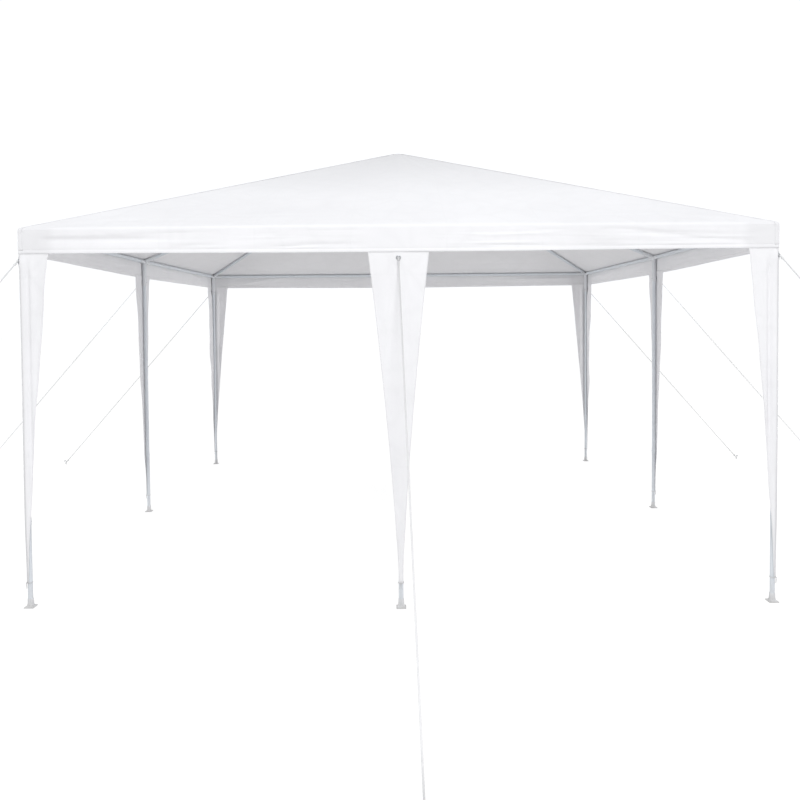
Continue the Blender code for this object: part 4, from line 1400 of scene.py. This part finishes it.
class TentRopeSettings(PropertyGroup):
    """Sizes of the ropes, pegs and eyelets, and the colour of ropes and ties."""

    rope_radius: length("Rope Radius", "Radius of the guy ropes", 0.004)
    lay_length: length("Lay Length", "Length of one full turn of the strands", 0.030)
    side_run: length("Side Run", "Level distance from a side eyelet to its peg", 1.6)
    end_run: length("End Run", "Level distance from the front or back eyelet to its peg", 1.8)
    end_drift: length("End Drift", "How far those two pegs stand to one side", 0.07)
    hitch_height: length("Hitch Height", "Height of the rope's loop on the peg", 0.02)
    peg_radius: length("Peg Radius", "Radius of the peg's rod", 0.0035)
    peg_height: length("Peg Height", "Height at which the hook begins", 0.034)
    peg_hook: length("Peg Hook", "Radius of the hook's bend", 0.0085)
    eyelet_radius: length("Eyelet Radius", "Outer radius of the eyelets", 0.0135)
    cord_colour: tint("Cord Colour", "Colour of ropes and ties", (0.93, 0.93, 0.935))


class TentStageSettings(PropertyGroup):
    """Camera, floor and light."""

    lens: number("Lens", "Focal length in millimetres", 33.130)
    horizon_line: number("Horizon Line", "Row of the lens axis in the picture", 345.66)
    camera_place: FloatVectorProperty(
        name="Camera Place", description="Where the camera stands",
        default=(0.0088, -5.8716, 1.5095), subtype="TRANSLATION", precision=4)
    yaw: number("Yaw", "Leftward turn of the camera", math.radians(0.0648), subtype="ANGLE")
    pitch: number("Pitch", "Upward turn of the camera", math.radians(-1.881), subtype="ANGLE")
    roll: number("Roll", "Turn about the view", math.radians(-0.4651), subtype="ANGLE")
    floor_colour: tint("Floor Colour", "Pale floor", (0.66, 0.655, 0.65))
    floor_glow: number("Floor Glow", "Light that the floor gives the tent", 0.056)
    floor_seen: number("Floor Seen", "Light added to the seen floor", 0.85)
    sky_strength: number("Sky Strength", "Soft light from all round", 0.745)
    sky_seen: number("Sky Seen", "Brightness of the seen background", 1.06)
    key_power: number("Key Power", "Large front light in watts", 1118.0)
    back_power: number("Back Power", "Large back light in watts", 46.0)
    side_power: number("Side Power", "Each low side light in watts", 162.0)


class TENT_OT_stage(Operator):
    """Make the floor, the lights and the camera."""

    bl_idname = "tent.stage"
    bl_label = "Stage"

    def execute(self, context):
        build_stage(context.scene.tent_stage)
        return {"FINISHED"}


class TENT_OT_legs(Operator):
    """Make the legs and their feet."""

    bl_idname = "tent.legs"
    bl_label = "Legs and Feet"

    def execute(self, context):
        build_legs(context.scene.tent_frame)
        return {"FINISHED"}


class TENT_OT_tubes(Operator):
    """Make the eave tubes and the rafters."""

    bl_idname = "tent.tubes"
    bl_label = "Eave Tubes and Rafters"

    def execute(self, context):
        build_frame_tubes(context.scene.tent_frame)
        return {"FINISHED"}


class TENT_OT_connectors(Operator):
    """Make the sockets at the corners, the sides and the crown."""

    bl_idname = "tent.connectors"
    bl_label = "Sockets"

    def execute(self, context):
        build_connectors(context.scene.tent_frame)
        build_crown(context.scene.tent_frame)
        return {"FINISHED"}


class TENT_OT_cover(Operator):
    """Make the roof and valance as one sheet, with its hem."""

    bl_idname = "tent.cover"
    bl_label = "Cover"

    def execute(self, context):
        build_cover(context.scene.tent_sheet)
        return {"FINISHED"}


class TENT_OT_hip_tapes(Operator):
    """Make the sewn tapes over the hip seams."""

    bl_idname = "tent.hip_tapes"
    bl_label = "Hip Tapes"

    def execute(self, context):
        build_hip_tapes(context.scene.tent_sheet)
        return {"FINISHED"}


class TENT_OT_skirts(Operator):
    """Make the eight tapered leg skirts."""

    bl_idname = "tent.skirts"
    bl_label = "Leg Skirts"

    def execute(self, context):
        build_skirts(context.scene.tent_skirt)
        return {"FINISHED"}


class TENT_OT_eyelets(Operator):
    """Make the eyelets and the ties of the skirts."""

    bl_idname = "tent.eyelets"
    bl_label = "Eyelets and Ties"

    def execute(self, context):
        build_eyelets(context.scene.tent_rope)
        build_ties()
        return {"FINISHED"}


class TENT_OT_ropes(Operator):
    """Make the guy ropes and their pegs."""

    bl_idname = "tent.ropes"
    bl_label = "Ropes and Pegs"

    def execute(self, context):
        build_ropes(context.scene.tent_rope)
        return {"FINISHED"}


SETTINGS = (("tent_stage", TentStageSettings), ("tent_sheet", TentSheetSettings),
            ("tent_skirt", TentSkirtSettings), ("tent_frame", TentFrameSettings),
            ("tent_rope", TentRopeSettings))
OPERATORS = (TENT_OT_stage, TENT_OT_legs, TENT_OT_tubes, TENT_OT_connectors, TENT_OT_cover,
             TENT_OT_hip_tapes, TENT_OT_skirts, TENT_OT_eyelets, TENT_OT_ropes)


class TENT_PT_panel(Panel):
    """Lists the tent's pieces and their settings."""

    bl_label = "Party Tent"
    bl_idname = "TENT_PT_panel"
    bl_space_type = "VIEW_3D"
    bl_region_type = "UI"
    bl_category = "Party Tent"

    def draw(self, context):
        for operator in OPERATORS:
            self.layout.operator(operator.bl_idname)
        for name, group in SETTINGS:
            box = self.layout.box()
            for key in group.__annotations__:
                box.prop(getattr(context.scene, name), key)


CLASSES = (*(group for _, group in SETTINGS), *OPERATORS, TENT_PT_panel)


def register():
    """Add the settings, the operators and the panel."""
    for item in CLASSES:
        bpy.utils.register_class(item)
    for name, group in SETTINGS:
        setattr(bpy.types.Scene, name, PointerProperty(type=group))


def unregister():
    """Take them away again."""
    for name, _ in SETTINGS:
        delattr(bpy.types.Scene, name)
    for item in reversed(CLASSES):
        bpy.utils.unregister_class(item)


def main():
    register()
    bpy.ops.tent.stage()
    bpy.ops.tent.legs()
    bpy.ops.tent.tubes()
    bpy.ops.tent.connectors()
    bpy.ops.tent.cover()
    bpy.ops.tent.hip_tapes()
    bpy.ops.tent.skirts()
    bpy.ops.tent.eyelets()
    bpy.ops.tent.ropes()


if __name__ == "__main__":
    main()
